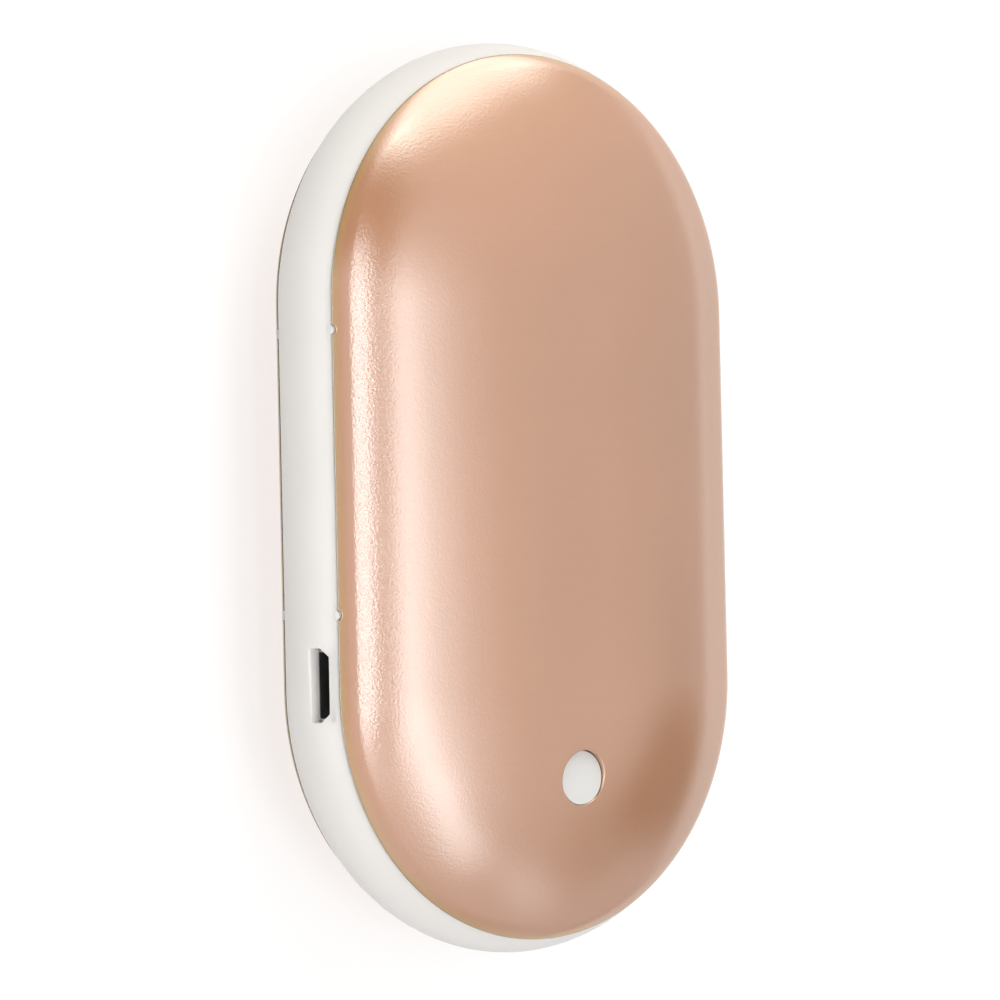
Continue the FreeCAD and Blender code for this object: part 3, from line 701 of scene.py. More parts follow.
class Palette:
    """All finishes of the hand warmer, made once and looked up by slot."""

    FINISHES: tuple[Finish, ...] = (
        BlastedAluminium(Slot.ROSE_GOLD),
        MouldedPlastic(Slot.WHITE_PLASTIC, glow=0.55, glow_depth=1.2),
        MouldedPlastic(Slot.BUTTON_WHITE, tint=(0.7, 0.69, 0.675), gloss=(0.3, 0.4), glow=0.15),
        MouldedPlastic(Slot.CHASSIS_PLASTIC, tint=(0.035, 0.035, 0.038), gloss=(0.45, 0.6)),
        FoilPouch(Slot.CELL_FOIL),
        ClosedCellFoam(Slot.FOAM),
        HeaterFilm(Slot.FILM),
        BoardLaminate(Slot.BOARD_GREEN),
        PlatedMetal(Slot.STEEL, tint=(0.52, 0.52, 0.53)),
        PlatedMetal(Slot.CONTACT_GOLD, tint=(0.78, 0.52, 0.16), gloss=(0.16, 0.28)),
        PlatedMetal(Slot.NICKEL, tint=(0.5, 0.48, 0.44), lines=(14.0, 1.0, 14.0)),
        MouldedPlastic(Slot.BLACK_PLASTIC, tint=(0.012, 0.012, 0.014), gloss=(0.4, 0.55), grain_scale=5000.0),
        FiredCeramic(Slot.CHIP_CERAMIC),
        ClearResin(Slot.LAMP_RESIN),
        WireSleeve(Slot.RED_SLEEVE),
        WireSleeve(Slot.BLACK_SLEEVE, tint=(0.012, 0.012, 0.013)),
        WireSleeve(Slot.WHITE_SLEEVE, tint=(0.7, 0.7, 0.67)),
    )

    def __init__(self) -> None:
        """Make each finish's material."""
        self.materials = {finish.slot.value: finish.material() for finish in self.FINISHES}

    def paint(self, piece: Piece, slot: Slot) -> None:
        """Give a new piece the finish of a slot.

        Args:
            piece: The piece to dress.
            slot: The record's material slot.
        """
        piece.data.materials.clear()
        piece.data.materials.append(self.materials[slot.value])

    def repaint(self, node: Piece) -> None:
        """Swap a CAD node's plain materials for the finishes of the same slots.

        Args:
            node: The CAD node's object.
        """
        for holder in node.material_slots:
            holder.material = self.materials[holder.material.name.split(".")[0]]


# Shapes


class MeshMaker:
    """Collects faces from points in millimetres and turns them into one object."""

    def __init__(self, name: str, middle: float) -> None:
        """Start an empty mesh.

        Args:
            name: Name of the object.
            middle: Height of the case's middle plane above the floor.
        """
        self.name = name
        self.middle = middle
        self.mesh = bmesh.new()

    def vertex(self, point: Point) -> bmesh.types.BMVert:
        """Add a vertex at a point given from the middle plane, and return it."""
        return self.mesh.verts.new((point[0] * MM, point[1] * MM, (point[2] + self.middle) * MM))

    def skin(self, rings: Sequence[Sequence[Point]], wrap: bool = False) -> list[list[bmesh.types.BMVert]]:
        """Cover closed rings of equal length with quads.

        Args:
            rings: Rings of points, in order.
            wrap: Join the last ring to the first.

        Returns:
            The vertices, ring by ring.
        """
        made = [[self.vertex(point) for point in ring] for ring in rings]
        pairs = list(zip(made, made[1:]))
        if wrap:
            pairs.append((made[-1], made[0]))
        for first, second in pairs:
            count = len(first)
            for index in range(count):
                after = (index + 1) % count
                self.mesh.faces.new((first[index], first[after], second[after], second[index]))
        return made

    def cap(self, ring: Sequence[bmesh.types.BMVert]) -> None:
        """Close a ring with one face."""
        self.mesh.faces.new(ring)

    def ladder(self, ring: Sequence[bmesh.types.BMVert], start: int) -> None:
        """Close a ring with rungs between its two sides.

        Args:
            ring: The ring's vertices, an even number.
            start: Index of the vertex at one end of the ladder.
        """
        count = len(ring)
        for step in range(count // 2):
            right, left = start + step, start - step
            corners = (right, right + 1, left - 1, left)
            unique = dict.fromkeys(ring[corner % count] for corner in corners)
            self.mesh.faces.new(tuple(unique))

    def turn(self, profile: Sequence[Flat], centre: Flat, steps: int) -> None:
        """Turn a closed profile about an upright axis.

        Args:
            profile: Radius and height of each point; the first and last lie on the axis.
            centre: Place of the axis.
            steps: Number of steps around.
        """
        angles = [2 * math.pi * step / steps for step in range(steps)]
        rings = [
            [(centre[0] + r * math.cos(a), centre[1] + r * math.sin(a), z) for a in angles]
            for r, z in profile[1:-1]
        ]
        made = self.skin(rings)
        for ring, (_, height) in ((made[0], profile[0]), (made[-1], profile[-1])):
            tip = self.vertex((centre[0], centre[1], height))
            for index, corner in enumerate(ring):
                self.mesh.faces.new((corner, ring[(index + 1) % steps], tip))

    def plug(self, rings: Sequence[Sequence[Point]]) -> None:
        """Cover closed rings with quads and close the first and the last.

        Args:
            rings: Rings of points, in order.
        """
        made = self.skin(rings)
        self.cap(made[0])
        self.cap(made[-1])

    def build(self) -> Piece:
        """Write the mesh to an object with smooth shading and sharp edges where it bends.

        Returns:
            The new object, linked to the scene.
        """
        bmesh.ops.recalc_face_normals(self.mesh, faces=self.mesh.faces[:])
        data = bpy.data.meshes.new(self.name)
        self.mesh.to_mesh(data)
        self.mesh.free()
        data.shade_smooth()
        data.set_sharp_from_angle(angle=math.radians(SHARP_EDGE))
        made = bpy.data.objects.new(self.name, data)
        bpy.context.scene.collection.objects.link(made)
        return made


def arc(centre: Flat, radius: float, start: float, end: float, steps: int) -> list[Flat]:
    """Points along an arc.

    Args:
        centre: Middle of the arc.
        radius: Its radius.
        start: Angle of the first point, in degrees.
        end: Angle of the last point, in degrees.
        steps: Number of steps between them.

    Returns:
        The points, both ends included.
    """
    points = []
    for step in range(steps + 1):
        angle = math.radians(start + (end - start) * step / steps)
        points.append((centre[0] + radius * math.cos(angle), centre[1] + radius * math.sin(angle)))
    return points


def rounded(corners: Sequence[Flat], radius: float, steps: int) -> list[Flat]:
    """Round the corners of a convex outline.

    Args:
        corners: Corners in turning order.
        radius: Radius at each corner.
        steps: Steps of each corner arc.

    Returns:
        The points of the rounded outline.
    """
    points: list[Flat] = []
    count = len(corners)
    for index, corner in enumerate(corners):
        here = Vector(corner)
        back = (Vector(corners[index - 1]) - here).normalized()
        ahead = (Vector(corners[(index + 1) % count]) - here).normalized()
        half = back.angle(ahead) / 2
        middle = here + (back + ahead).normalized() * (radius / math.sin(half))
        first = here + back * (radius / math.tan(half)) - middle
        last = here + ahead * (radius / math.tan(half)) - middle
        sweep = first.angle_signed(last)
        for step in range(steps + 1):
            turned = first.copy()
            turned.rotate(Matrix.Rotation(-sweep * step / steps, 2))
            points.append((middle.x + turned.x, middle.y + turned.y))
    return points


@dataclass(frozen=True)
class CaseSizes:
    """Sizes that the covers and the band share."""

    length: float = 100.0
    width: float = 59.0
    thickness: float = 24.0
    side_radius: float = 6.8
    land_width: float = 8.0
    band_height: float = 9.2
    shell_wall: float = 0.8
    shell_proud: float = 0.25
    seam_gap: float = 0.1
    nib_high: float = 17.7
    nib_low: float = -12.3
    nib_width: float = 1.0
    nib_height: float = 0.3
    nib_clearance: float = 0.02

    @property
    def middle(self) -> float:
        """Height of the middle plane above the floor."""
        return self.thickness / 2

    @property
    def half_straight(self) -> float:
        """Half the length of the straight flanks."""
        return (self.length - self.width) / 2

    @property
    def flank_centre(self) -> float:
        """Distance of the side arc's centre from the middle line."""
        return self.width / 2 - self.side_radius

    @property
    def seam(self) -> float:
        """Height of the seam between band and cover."""
        return self.band_height / 2

    @property
    def rim(self) -> float:
        """Height of a cover's rim."""
        return self.seam + self.seam_gap

    @property
    def nib_places(self) -> Flat:
        """Places of the two nibs along a flank."""
        return (self.nib_high, self.nib_low)

    @property
    def notch_reach(self) -> float:
        """Half the width of a nib's notch."""
        return self.nib_width / 2 + self.nib_clearance

    def bulge(self, offset: float, reach: float) -> float:
        """Height of a nib's rounded outline at an offset from its middle.

        Args:
            offset: Distance along the flank from the middle of the nib.
            reach: Half the width of the outline.

        Returns:
            The height above the seam, 0 outside the outline.
        """
        return self.nib_height * math.sqrt(max(1 - (offset / reach) ** 2, 0.0))

    def reach(self, x: float, y: float) -> float:
        """Distance of a place from the middle line of the case."""
        return math.hypot(x, max(abs(y) - self.half_straight, 0.0))


class DomeCurve:
    """Half section of a cover: a flat land, a crown arc and a side arc."""

    def __init__(self, case: CaseSizes, inset: float) -> None:
        """Work out the arcs.

        Args:
            case: Sizes of the case.
            inset: How far this curve lies inside the outer surface.
        """
        outer_side = case.side_radius + case.shell_proud
        self.land = case.land_width / 2
        self.flank = case.flank_centre
        span = self.flank - self.land
        outer_crown = (span**2 / (case.middle - outer_side) + outer_side + case.middle) / 2
        self.crown_centre = case.middle - outer_crown
        self.crown = outer_crown - inset
        self.side = outer_side - inset
        self.join_angle = math.asin(span / (outer_crown - outer_side))
        self.join = self.land + self.crown * math.sin(self.join_angle)

    def height(self, reach: float) -> float:
        """Height of the curve.

        Args:
            reach: Distance from the middle line.

        Returns:
            The height above the middle plane.
        """
        if reach <= self.land:
            return self.crown_centre + self.crown
        if reach <= self.join:
            return self.crown_centre + math.sqrt(self.crown**2 - (reach - self.land) ** 2)
        return math.sqrt(max(self.side**2 - (reach - self.flank) ** 2, 0.0))

    def side_points(self, rim: float, steps: int) -> list[Flat]:
        """Points along the side arc from the join down to a height.

        Args:
            rim: Height of the last point.
            steps: Number of steps.

        Returns:
            Distance and height of each point.
        """
        end = math.degrees(math.asin(rim / self.side))
        return arc((self.flank, 0.0), self.side, 90 - math.degrees(self.join_angle), end, steps)


@dataclass(frozen=True)
class Station:
    """A place on the middle line of the case, with the way outward from it."""

    x: float
    y: float
    out: Flat

    def at(self, reach: float, height: float) -> Point:
        """Point at a distance outward and a height."""
        return (self.x + reach * self.out[0], self.y + reach * self.out[1], height)


@dataclass(frozen=True)
class Circuit:
    """Stations once around the case, right flank first, seen from the front against the clock."""

    case: CaseSizes
    flank_step: float = 1.0
    end_steps: int = 96
    notch_steps: int = 16

    def flank_places(self) -> list[float]:
        """Places along a flank, close together across the nib notches.

        Returns:
            The places, from the lower end up.
        """
        half = self.case.half_straight
        count = round(2 * half / self.flank_step)
        places = {round(-half + 2 * half * step / count, 6) for step in range(count + 1)}
        reach = self.case.notch_reach
        for nib in self.case.nib_places:
            places = {place for place in places if abs(place - nib) > reach + self.flank_step / 4}
            for step in range(self.notch_steps + 1):
                places.add(nib - reach * math.cos(math.pi * step / self.notch_steps))
        return sorted(places)

    def stations(self) -> list[Station]:
        """Lay out the stations along both flanks and around both ends.

        Returns:
            All stations in order.
        """
        half = self.case.half_straight
        places = self.flank_places()
        turns = [math.pi * step / self.end_steps for step in range(1, self.end_steps)]
        made = [Station(0.0, y, (1.0, 0.0)) for y in places]
        made += [Station(0.0, half, (math.cos(a), math.sin(a))) for a in turns]
        made += [Station(0.0, y, (-1.0, 0.0)) for y in reversed(places)]
        made += [Station(0.0, -half, (-math.cos(a), -math.sin(a))) for a in turns]
        return made

    def notch_lift(self, station: Station) -> float:
        """How far the rim of a cover is lifted to make room for a nib.

        Args:
            station: Where the rim is asked for.

        Returns:
            The lift, 0 away from the nibs.
        """
        if station.out[1]:
            return 0.0
        return max(self.case.bulge(station.y - nib, self.case.notch_reach) for nib in self.case.nib_places)


@dataclass
class MetalCover:
    """Domed metal cover with a softened rim, notches for the nibs and, in front, the button hole."""

    case: CaseSizes
    face: Face
    palette: Palette
    rim_round: float = 0.12
    hole_place: float = -30.55
    hole_radius: float = 2.95
    hole_round: float = 0.15
    ring_reach: float = 16.0
    middle_ring: float = 0.8
    bore_shares: Point = (0.0, 0.35, 0.7)
    edge_steps: int = 6
    hole_steps: int = 36
    crown_steps: int = 40
    side_steps: int = 14
    rim_steps: int = 6
    inside_steps: int = 12

    def __post_init__(self) -> None:
        """Work out the outer and inner curve of the wall."""
        self.outer = DomeCurve(self.case, 0.0)
        self.inner = DomeCurve(self.case, self.case.shell_wall)

    def rim_profile(self, rim: float) -> list[Flat]:
        """Wall section from the ring near the hole out to the rim and back along the inside.

        Args:
            rim: Height of the rim.

        Returns:
            Distance and height of each point.
        """
        outer, inner, ease = self.outer, self.inner, self.rim_round
        span = outer.join - self.ring_reach
        points = []
        for step in range(self.crown_steps):
            reach = self.ring_reach + span * step / self.crown_steps
            points.append((reach, outer.height(reach)))
        centre_reach = math.sqrt((outer.side - ease) ** 2 - (rim + ease) ** 2)
        centre = (outer.flank + centre_reach, rim + ease)
        tangent = math.degrees(math.atan2(rim + ease, centre_reach))
        start = 90 - math.degrees(outer.join_angle)
        points += arc((outer.flank, 0.0), outer.side, start, tangent, self.side_steps)
        points += arc(centre, ease, tangent, -90, self.rim_steps)[1:]
        points += inner.side_points(rim, self.rim_steps)[::-1]
        for step in range(1, self.inside_steps + 1):
            reach = inner.join + (self.ring_reach - inner.join) * step / self.inside_steps
            points.append((reach, inner.height(reach)))
        return points

    def wall_rings(self, stations: Sequence[Station], circuit: Circuit) -> list[list[Point]]:
        """Rings of the wall from the ring near the hole, around the rim, to the same ring inside.

        Args:
            stations: Stations around the case.
            circuit: The circuit they belong to.

        Returns:
            The rings, in order.
        """
        profiles = [self.rim_profile(self.case.rim + circuit.notch_lift(station)) for station in stations]
        return [
            [station.at(*profile[row]) for station, profile in zip(stations, profiles)]
            for row in range(len(profiles[0]))
        ]

    def hole_ring(self, stations: Sequence[Station], share: float, radius: float) -> list[Flat]:
        """Places between the hole and the ring around it.

        Args:
            stations: Stations around the case.
            share: 0 at the hole, 1 at the ring.
            radius: Radius of the hole's edge.

        Returns:
            One place for each station.
        """
        places = []
        for station in stations:
            far = station.at(self.ring_reach, 0.0)
            away = Vector((far[0], far[1] - self.hole_place))
            place = away.normalized() * (radius + (away.length - radius) * share)
            places.append((place.x, place.y + self.hole_place))
        return places

    def lift(self, places: Iterable[Flat], curve: DomeCurve, drop: float = 0.0) -> list[Point]:
        """Raise flat places onto a curve of the wall, less a drop."""
        return [(x, y, curve.height(self.case.reach(x, y)) - drop) for x, y in places]

    def front_rings(self, stations: Sequence[Station], circuit: Circuit) -> list[list[Point]]:
        """Closed set of rings of the front wall, starting inside the hole.

        Args:
            stations: Stations around the case.
            circuit: The circuit they belong to.

        Returns:
            The rings, in order.
        """
        edge = self.hole_radius + self.hole_round
        rings = []
        for share in self.bore_shares:
            places = self.hole_ring(stations, 0.0, self.hole_radius)
            low = self.lift(places, self.inner)
            high = self.lift(places, self.outer, self.hole_round)
            rings.append([(a[0], a[1], a[2] + (b[2] - a[2]) * share) for a, b in zip(low, high)])
        for step in range(self.edge_steps):
            bend = math.radians(90 - 90 * step / self.edge_steps)
            radius = edge - self.hole_round * math.sin(bend)
            drop = self.hole_round * (1 - math.cos(bend))
            rings.append(self.lift(self.hole_ring(stations, 0.0, radius), self.outer, drop))
        for step in range(self.hole_steps):
            rings.append(self.lift(self.hole_ring(stations, step / self.hole_steps, edge), self.outer))
        rings += self.wall_rings(stations, circuit)
        for step in range(1, self.inside_steps):
            places = self.hole_ring(stations, 1 - step / self.inside_steps, self.hole_radius)
            rings.append(self.lift(places, self.inner))
        return rings

    def middle_reaches(self, count: int) -> list[float]:
        """Distances of the rings that close the middle of the back cover, evenly spread."""
        span = self.ring_reach - self.middle_ring
        return [self.middle_ring + span * step / count for step in range(count)]

    def back_rings(self, stations: Sequence[Station], circuit: Circuit) -> list[list[Point]]:
        """Rings of the back wall, from its middle on the outside to its middle on the inside.

        Args:
            stations: Stations around the case.
            circuit: The circuit they belong to.

        Returns:
            The rings, in order.
        """
        rings = []
        for reach in self.middle_reaches(self.hole_steps):
            rings.append([station.at(reach, self.outer.height(reach)) for station in stations])
        rings += self.wall_rings(stations, circuit)
        for reach in reversed(self.middle_reaches(self.inside_steps)):
            rings.append([station.at(reach, self.inner.height(reach)) for station in stations])
        return rings

    def build(self) -> list[Piece]:
        """Build, dress and mount the cover.

        Returns:
            The cover alone.
        """
        front = self.face is Face.FRONT
        name = "front_cover" if front else "back_cover"
        circuit = Circuit(self.case)
        stations = circuit.stations()
        maker = MeshMaker(name, self.case.middle)
        if front:
            maker.skin(self.front_rings(stations, circuit), wrap=True)
        else:
            rings = [[(x, y, -z) for x, y, z in ring] for ring in self.back_rings(stations, circuit)]
            made = maker.skin(rings)
            top = len(circuit.flank_places()) - 1 + circuit.end_steps // 2
            maker.ladder(made[0], top)
            maker.ladder(made[-1], top)
        cover = maker.build()
        self.palette.paint(cover, Slot.ROSE_GOLD)
        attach(cover, Body.HOUSING.value)
        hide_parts("front_shell" if front else "back_shell")
        return [cover]


@dataclass
class MiddleBand:
    """White middle band with lips under the covers, screw bosses, nibs and the charging slot."""

    case: CaseSizes
    palette: Palette
    edge_round: float = 0.15
    skin_relief: float = 0.025
    lip_height: float = 0.8
    lip_wall: float = 0.9
    lip_clearance: float = 0.12
    lip_root: float = 0.6
    wall: float = 2.2
    nib_depth: float = 1.2
    nib_relief: float = 0.02
    nib_root: float = 0.05
    nib_steps: int = 12
    arc_steps: int = 24
    edge_steps: int = 5
    port_place: Flat = (-19.65, 2.65)
    port_half: Flat = (3.9, 1.0)
    port_corner: float = 0.9
    port_round: float = 0.12
    port_steps: int = 4
    mouth_round: float = 0.22
    mouth_start: float = 15.0
    mouth_steps: int = 5
    mouth_outside: float = 0.3
    cutter_outside: float = 1.0
    bay_half: Flat = (3.85, 1.325)
    bay_depth: Flat = (22.6, 28.01)
    boss_half: float = 2.3
    boss_inset: float = 1.9
    boss_place: float = 11.0
    boss_top: float = -0.975
    bore_radius: float = 0.875
    bore_depth: float = 3.15
    boss_bite: float = 0.3
    boss_steps: int = 48
    skin_tolerance: float = 0.004
    skin_margin: float = 0.2
    skin_agreement: float = 0.9

    @property
    def skin_radius(self) -> float:
        """Radius of the outer arc, a hair inside the CAD skin."""
        return self.case.side_radius - self.skin_relief

    @property
    def lip_inner(self) -> float:
        """Distance of the lips' inner face from the middle line.

        Returns:
            The distance.
        """
        radius = self.case.side_radius + self.case.shell_proud - self.case.shell_wall - self.lip_clearance
        top = self.case.seam + self.lip_height
        return self.case.flank_centre + math.sqrt(radius**2 - top**2) - self.lip_wall

    def skin_reach(self, height: float) -> float:
        """Distance of the outer surface from the middle line at a height."""
        return self.case.flank_centre + math.sqrt(self.skin_radius**2 - height**2)

    def section(self) -> list[Flat]:
        """Closed section of the band, outer arc first.

        Returns:
            Distance and height of each point.
        """
        case, ease = self.case, self.edge_round
        seam, flank, side = case.seam, case.flank_centre, self.skin_radius
        rise = math.sqrt((side - ease) ** 2 - (seam - ease) ** 2)
        tangent = math.degrees(math.atan2(seam - ease, rise))
        upper = arc((flank, 0.0), side, 0.0, tangent, self.arc_steps)
        upper += arc((flank + rise, seam - ease), ease, tangent, 90.0, self.edge_steps)[1:]
        lip_radius = case.side_radius + case.shell_proud - case.shell_wall - self.lip_clearance
        upper.append((flank + math.sqrt(lip_radius**2 - seam**2), seam))
        lip_top = seam + self.lip_height
        upper.append((self.lip_inner + self.lip_wall, lip_top))
        upper.append((self.lip_inner, lip_top))
        inner = case.width / 2 - self.wall
        base = seam - self.lip_root
        upper.append((self.lip_inner, base))
        upper.append((inner, base - (inner - self.lip_inner)))
        lower = [(reach, -height) for reach, height in reversed(upper[1:])]
        return upper + lower

    def slot_outline(self, grow: float) -> list[Flat]:
        """Outline of the charging slot.

        Args:
            grow: How far the outline lies outside the slot's own walls.

        Returns:
            Place along the flank and height of each point.
        """
        along, up = self.port_half[0] + grow, self.port_half[1] + grow
        corner = self.port_corner + grow * (2 - math.sqrt(2))
        corners = [(-along, -up), (along, -up), (along, up - corner), (along - corner, up)]
        corners += [(corner - along, up), (-along, up - corner)]
        points = rounded(corners, self.port_round + grow, self.port_steps)
        return [(y + self.port_place[0], z + self.port_place[1]) for y, z in points]

    def slot_cutter(self) -> Piece:
        """Cutter of the slot, flared at its mouth so that the edge comes out round.

        Returns:
            The cutter's object.
        """
        ease = self.mouth_round
        start = math.radians(self.mouth_start)
        outside = self.mouth_outside
        tip = ease * (1 - math.cos(start))
        widest = ease * (1 - math.sin(start)) + (outside + tip) / math.tan(start)
        steps = [(widest, -outside)]
        for step in range(self.mouth_steps + 1):
            bend = start + (math.pi / 2 - start) * step / self.mouth_steps
            steps.append((ease * (1 - math.sin(bend)), ease * (1 - math.cos(bend))))
        rings = [
            [(depth - self.skin_reach(z), y, z) for y, z in self.slot_outline(grow)] for grow, depth in steps
        ]
        far = -self.case.width / 2 - self.cutter_outside
        rings.insert(0, [(far, y, z) for y, z in self.slot_outline(widest)])
        rings.append([(-self.bay_depth[0], y, z) for y, z in self.slot_outline(0.0)])
        maker = MeshMaker("slot_cutter", self.case.middle)
        maker.plug(rings)
        return maker.build()

    def bay_cutter(self) -> Piece:
        """Cutter of the bay that holds the socket behind the slot.

        Returns:
            The cutter's object.
        """
        y, z = self.port_place
        half, up = self.bay_half
        corners = [(y - half, z - up), (y + half, z - up), (y + half, z + up), (y - half, z + up)]
        maker = MeshMaker("bay_cutter", self.case.middle)
        maker.plug([[(-depth, a, b) for a, b in corners] for depth in self.bay_depth])
        return maker.build()

    def cut(self, band: Piece, cutters: Sequence[Piece]) -> None:
        """Cut shapes out of the band and drop the cutters.

        Args:
            band: The band's object.
            cutters: Closed objects to take away.
        """
        for cutter in cutters:
            step = band.modifiers.new(cutter.name, "BOOLEAN")
            step.operation = "DIFFERENCE"
            step.solver = "EXACT"
            step.object = cutter
        shown = bpy.context.evaluated_depsgraph_get()
        cut_mesh = bpy.data.meshes.new_from_object(band.evaluated_get(shown))
        band.modifiers.clear()
        old = band.data
        band.data = cut_mesh
        bpy.data.meshes.remove(old)
        for cutter in cutters:
            bpy.data.objects.remove(cutter)

    def steer_normals(self, band: Piece) -> None:
        """Give the outer surface the exact normals of its arc, also around the slot.

        Args:
            band: The band's object.
        """
        case, data = self.case, band.data
        data.set_sharp_from_angle(angle=math.radians(SHARP_EDGE))
        normals = []
        for loop, corner in zip(data.loops, data.corner_normals):
            place = data.vertices[loop.vertex_index].co / MM
            spine = Vector((0.0, max(-case.half_straight, min(case.half_straight, place.y)), case.middle))
            out = Vector((place.x, place.y - spine.y, 0.0))
            arm = place - spine - out.normalized() * case.flank_centre
            on_skin = abs(arm.length - self.skin_radius) < self.skin_tolerance
            on_skin = on_skin and abs(arm.z) < case.seam - self.skin_margin
            exact = on_skin and corner.vector.dot(arm.normalized()) > self.skin_agreement
            normals.append(arm.normalized() if exact else corner.vector)
        data.normals_split_custom_set(normals)

    def boss_rings(self, centre: Flat, out: Flat) -> list[list[Point]]:
        """Rings of one screw boss, from its outer foot over the top into its bore.

        Args:
            centre: Place of the screw axis.
            out: The way from the axis to the wall.

        Returns:
            The rings of the boss.
        """
        half = self.boss_half
        reach = self.case.width / 2 - self.wall + self.boss_bite - (self.lip_inner - self.boss_inset)
        outline, bore = [], []
        for step in range(self.boss_steps):
            angle = 2 * math.pi * step / self.boss_steps
            ahead, across = math.cos(angle), math.sin(angle)
            far = half
            if ahead > 0:
                far = min(half / max(abs(across), 1e-6), reach / ahead)
            way = (ahead * out[0] - across * out[1], ahead * out[1] + across * out[0])
            outline.append((centre[0] + far * way[0], centre[1] + far * way[1]))
            bore.append((centre[0] + self.bore_radius * way[0], centre[1] + self.bore_radius * way[1]))
        top = self.boss_top
        levels = [(outline, -self.case.seam), (outline, top), (bore, top), (bore, top - self.bore_depth)]
        return [[(x, y, z) for x, y in places] for places, z in levels]

    def add_bosses(self, maker: MeshMaker) -> None:
        """Add the six screw bosses.

        Args:
            maker: The mesh to add them to.
        """
        reach = self.lip_inner - self.boss_inset
        spots = [
            ((side * reach, along * self.boss_place), (float(side), 0.0))
            for side, along in itertools.product((1, -1), (1, -1))
        ]
        end = self.case.half_straight + reach
        spots += [((0.0, side * end), (0.0, float(side))) for side in (1, -1)]
        for centre, out in spots:
            maker.plug(self.boss_rings(centre, out))

    def add_nibs(self, maker: MeshMaker) -> None:
        """Add the snap nibs that stand in the notches of both covers.

        Args:
            maker: The mesh to add them to.
        """
        case = self.case
        outer = DomeCurve(case, self.nib_relief)
        half = case.nib_width / 2
        for side, place, face in itertools.product((1, -1), case.nib_places, Face):
            rings = []
            for step in range(self.nib_steps + 1):
                offset = -half * math.cos(math.pi * step / self.nib_steps)
                levels = (case.seam - self.nib_root, case.seam + case.bulge(offset, half))
                outline = [(outer.flank + math.sqrt(outer.side**2 - z**2), z) for z in levels]
                outline += [(reach - self.nib_depth, z) for reach, z in reversed(outline)]
                rings.append([(side * reach, place + offset, face.value * z) for reach, z in outline])
            maker.plug(rings)

    def build(self) -> list[Piece]:
        """Build, cut, dress and mount the band with its bosses and nibs.

        Returns:
            The band and its fittings.
        """
        stations = Circuit(self.case).stations()
        maker = MeshMaker("middle_band", self.case.middle)
        maker.skin([[station.at(*point) for station in stations] for point in self.section()], wrap=True)
        band = maker.build()
        self.cut(band, [self.slot_cutter(), self.bay_cutter()])
        self.steer_normals(band)
        self.palette.paint(band, Slot.WHITE_PLASTIC)
        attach(band, Body.HOUSING.value)
        fittings = MeshMaker("band_fittings", self.case.middle)
        self.add_bosses(fittings)
        self.add_nibs(fittings)
        small = fittings.build()
        self.palette.paint(small, Slot.WHITE_PLASTIC)
        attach(small, Body.HOUSING.value)
        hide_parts("middle_frame")
        return [band, small]


@dataclass
class PushButton:
    """Push button in the front cover and the snap dome of the switch under it."""

    case: CaseSizes
    palette: Palette
    place: float = -30.55
    radius: float = 2.92
    top: float = 11.19
    edge_round: float = 0.1
    crown: float = 0.04
    crown_shares: Point = (0.75, 0.5, 0.25)
    edge_steps: int = 8
    turn_steps: int = 96
    flange_radius: float = 3.8
    flange_top: float = 9.935
    flange_thickness: float = 0.8
    stem_radius: float = 2.4
    stem_bottom: float = 5.625
    bore_radius: float = 1.7
    bore_top: float = 7.025
    dome_radius: float = 2.1
    dome_foot: float = 2.025
    dome_rise: float = 0.9
    dome_thickness: float = 0.1
    dome_taper: float = 0.97
    dome_steps: int = 14
    dome_turn_steps: int = 48
    travel: float = 0.4

    def profile(self) -> list[Flat]:
        """Half section of the button, from its bore over the stem and flange to the crowned top.

        Returns:
            Radius and height of each point.
        """
        ease = self.edge_round
        flange_foot = self.flange_top - self.flange_thickness
        points = [
            (0.0, self.bore_top),
            (self.bore_radius, self.bore_top),
            (self.bore_radius, self.stem_bottom),
            (self.stem_radius, self.stem_bottom),
            (self.stem_radius, flange_foot),
            (self.flange_radius, flange_foot),
            (self.flange_radius, self.flange_top),
            (self.radius, self.flange_top),
        ]
        edge = self.top - self.crown
        points += arc((self.radius - ease, edge - ease), ease, 0.0, 90.0, self.edge_steps)
        for share in self.crown_shares:
            points.append(((self.radius - ease) * share, edge + self.crown * (1 - share**2)))
        points.append((0.0, self.top))
        return points

    def build(self) -> list[Piece]:
        """Build the button and the snap dome under it.

        Returns:
            Both pieces.
        """
        return [self.build_button(), self.build_dome()]

    def build_button(self) -> Piece:
        """Build, dress and mount the button.

        Returns:
            The button.
        """
        maker = MeshMaker("push_button", self.case.middle)
        maker.turn(self.profile(), (0.0, self.place), self.turn_steps)
        button = maker.build()
        self.palette.paint(button, Slot.BUTTON_WHITE)
        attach(button, Body.BUTTON.value)
        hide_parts("button_cap")
        return button

    def build_dome(self) -> Piece:
        """Build, dress and mount the snap dome under the button.

        Returns:
            The dome.
        """
        sphere = (self.dome_radius**2 + self.dome_rise**2) / (2 * self.dome_rise)
        centre = self.dome_foot + self.dome_rise - sphere
        half = math.degrees(math.asin(self.dome_radius / sphere))
        upper = arc((0.0, centre), sphere, 90.0, 90.0 - half, self.dome_steps)
        lower = [
            (reach * self.dome_taper, max(height - self.dome_thickness, self.dome_foot))
            for reach, height in upper
        ]
        maker = MeshMaker("snap_dome", self.case.middle)
        maker.turn(upper + lower[::-1], (0.0, self.place), self.dome_turn_steps)
        dome = maker.build()
        self.palette.paint(dome, Slot.STEEL)
        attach(dome, Body.HOUSING.value)
        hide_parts("switch_dome")
        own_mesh(dome)
        return dome


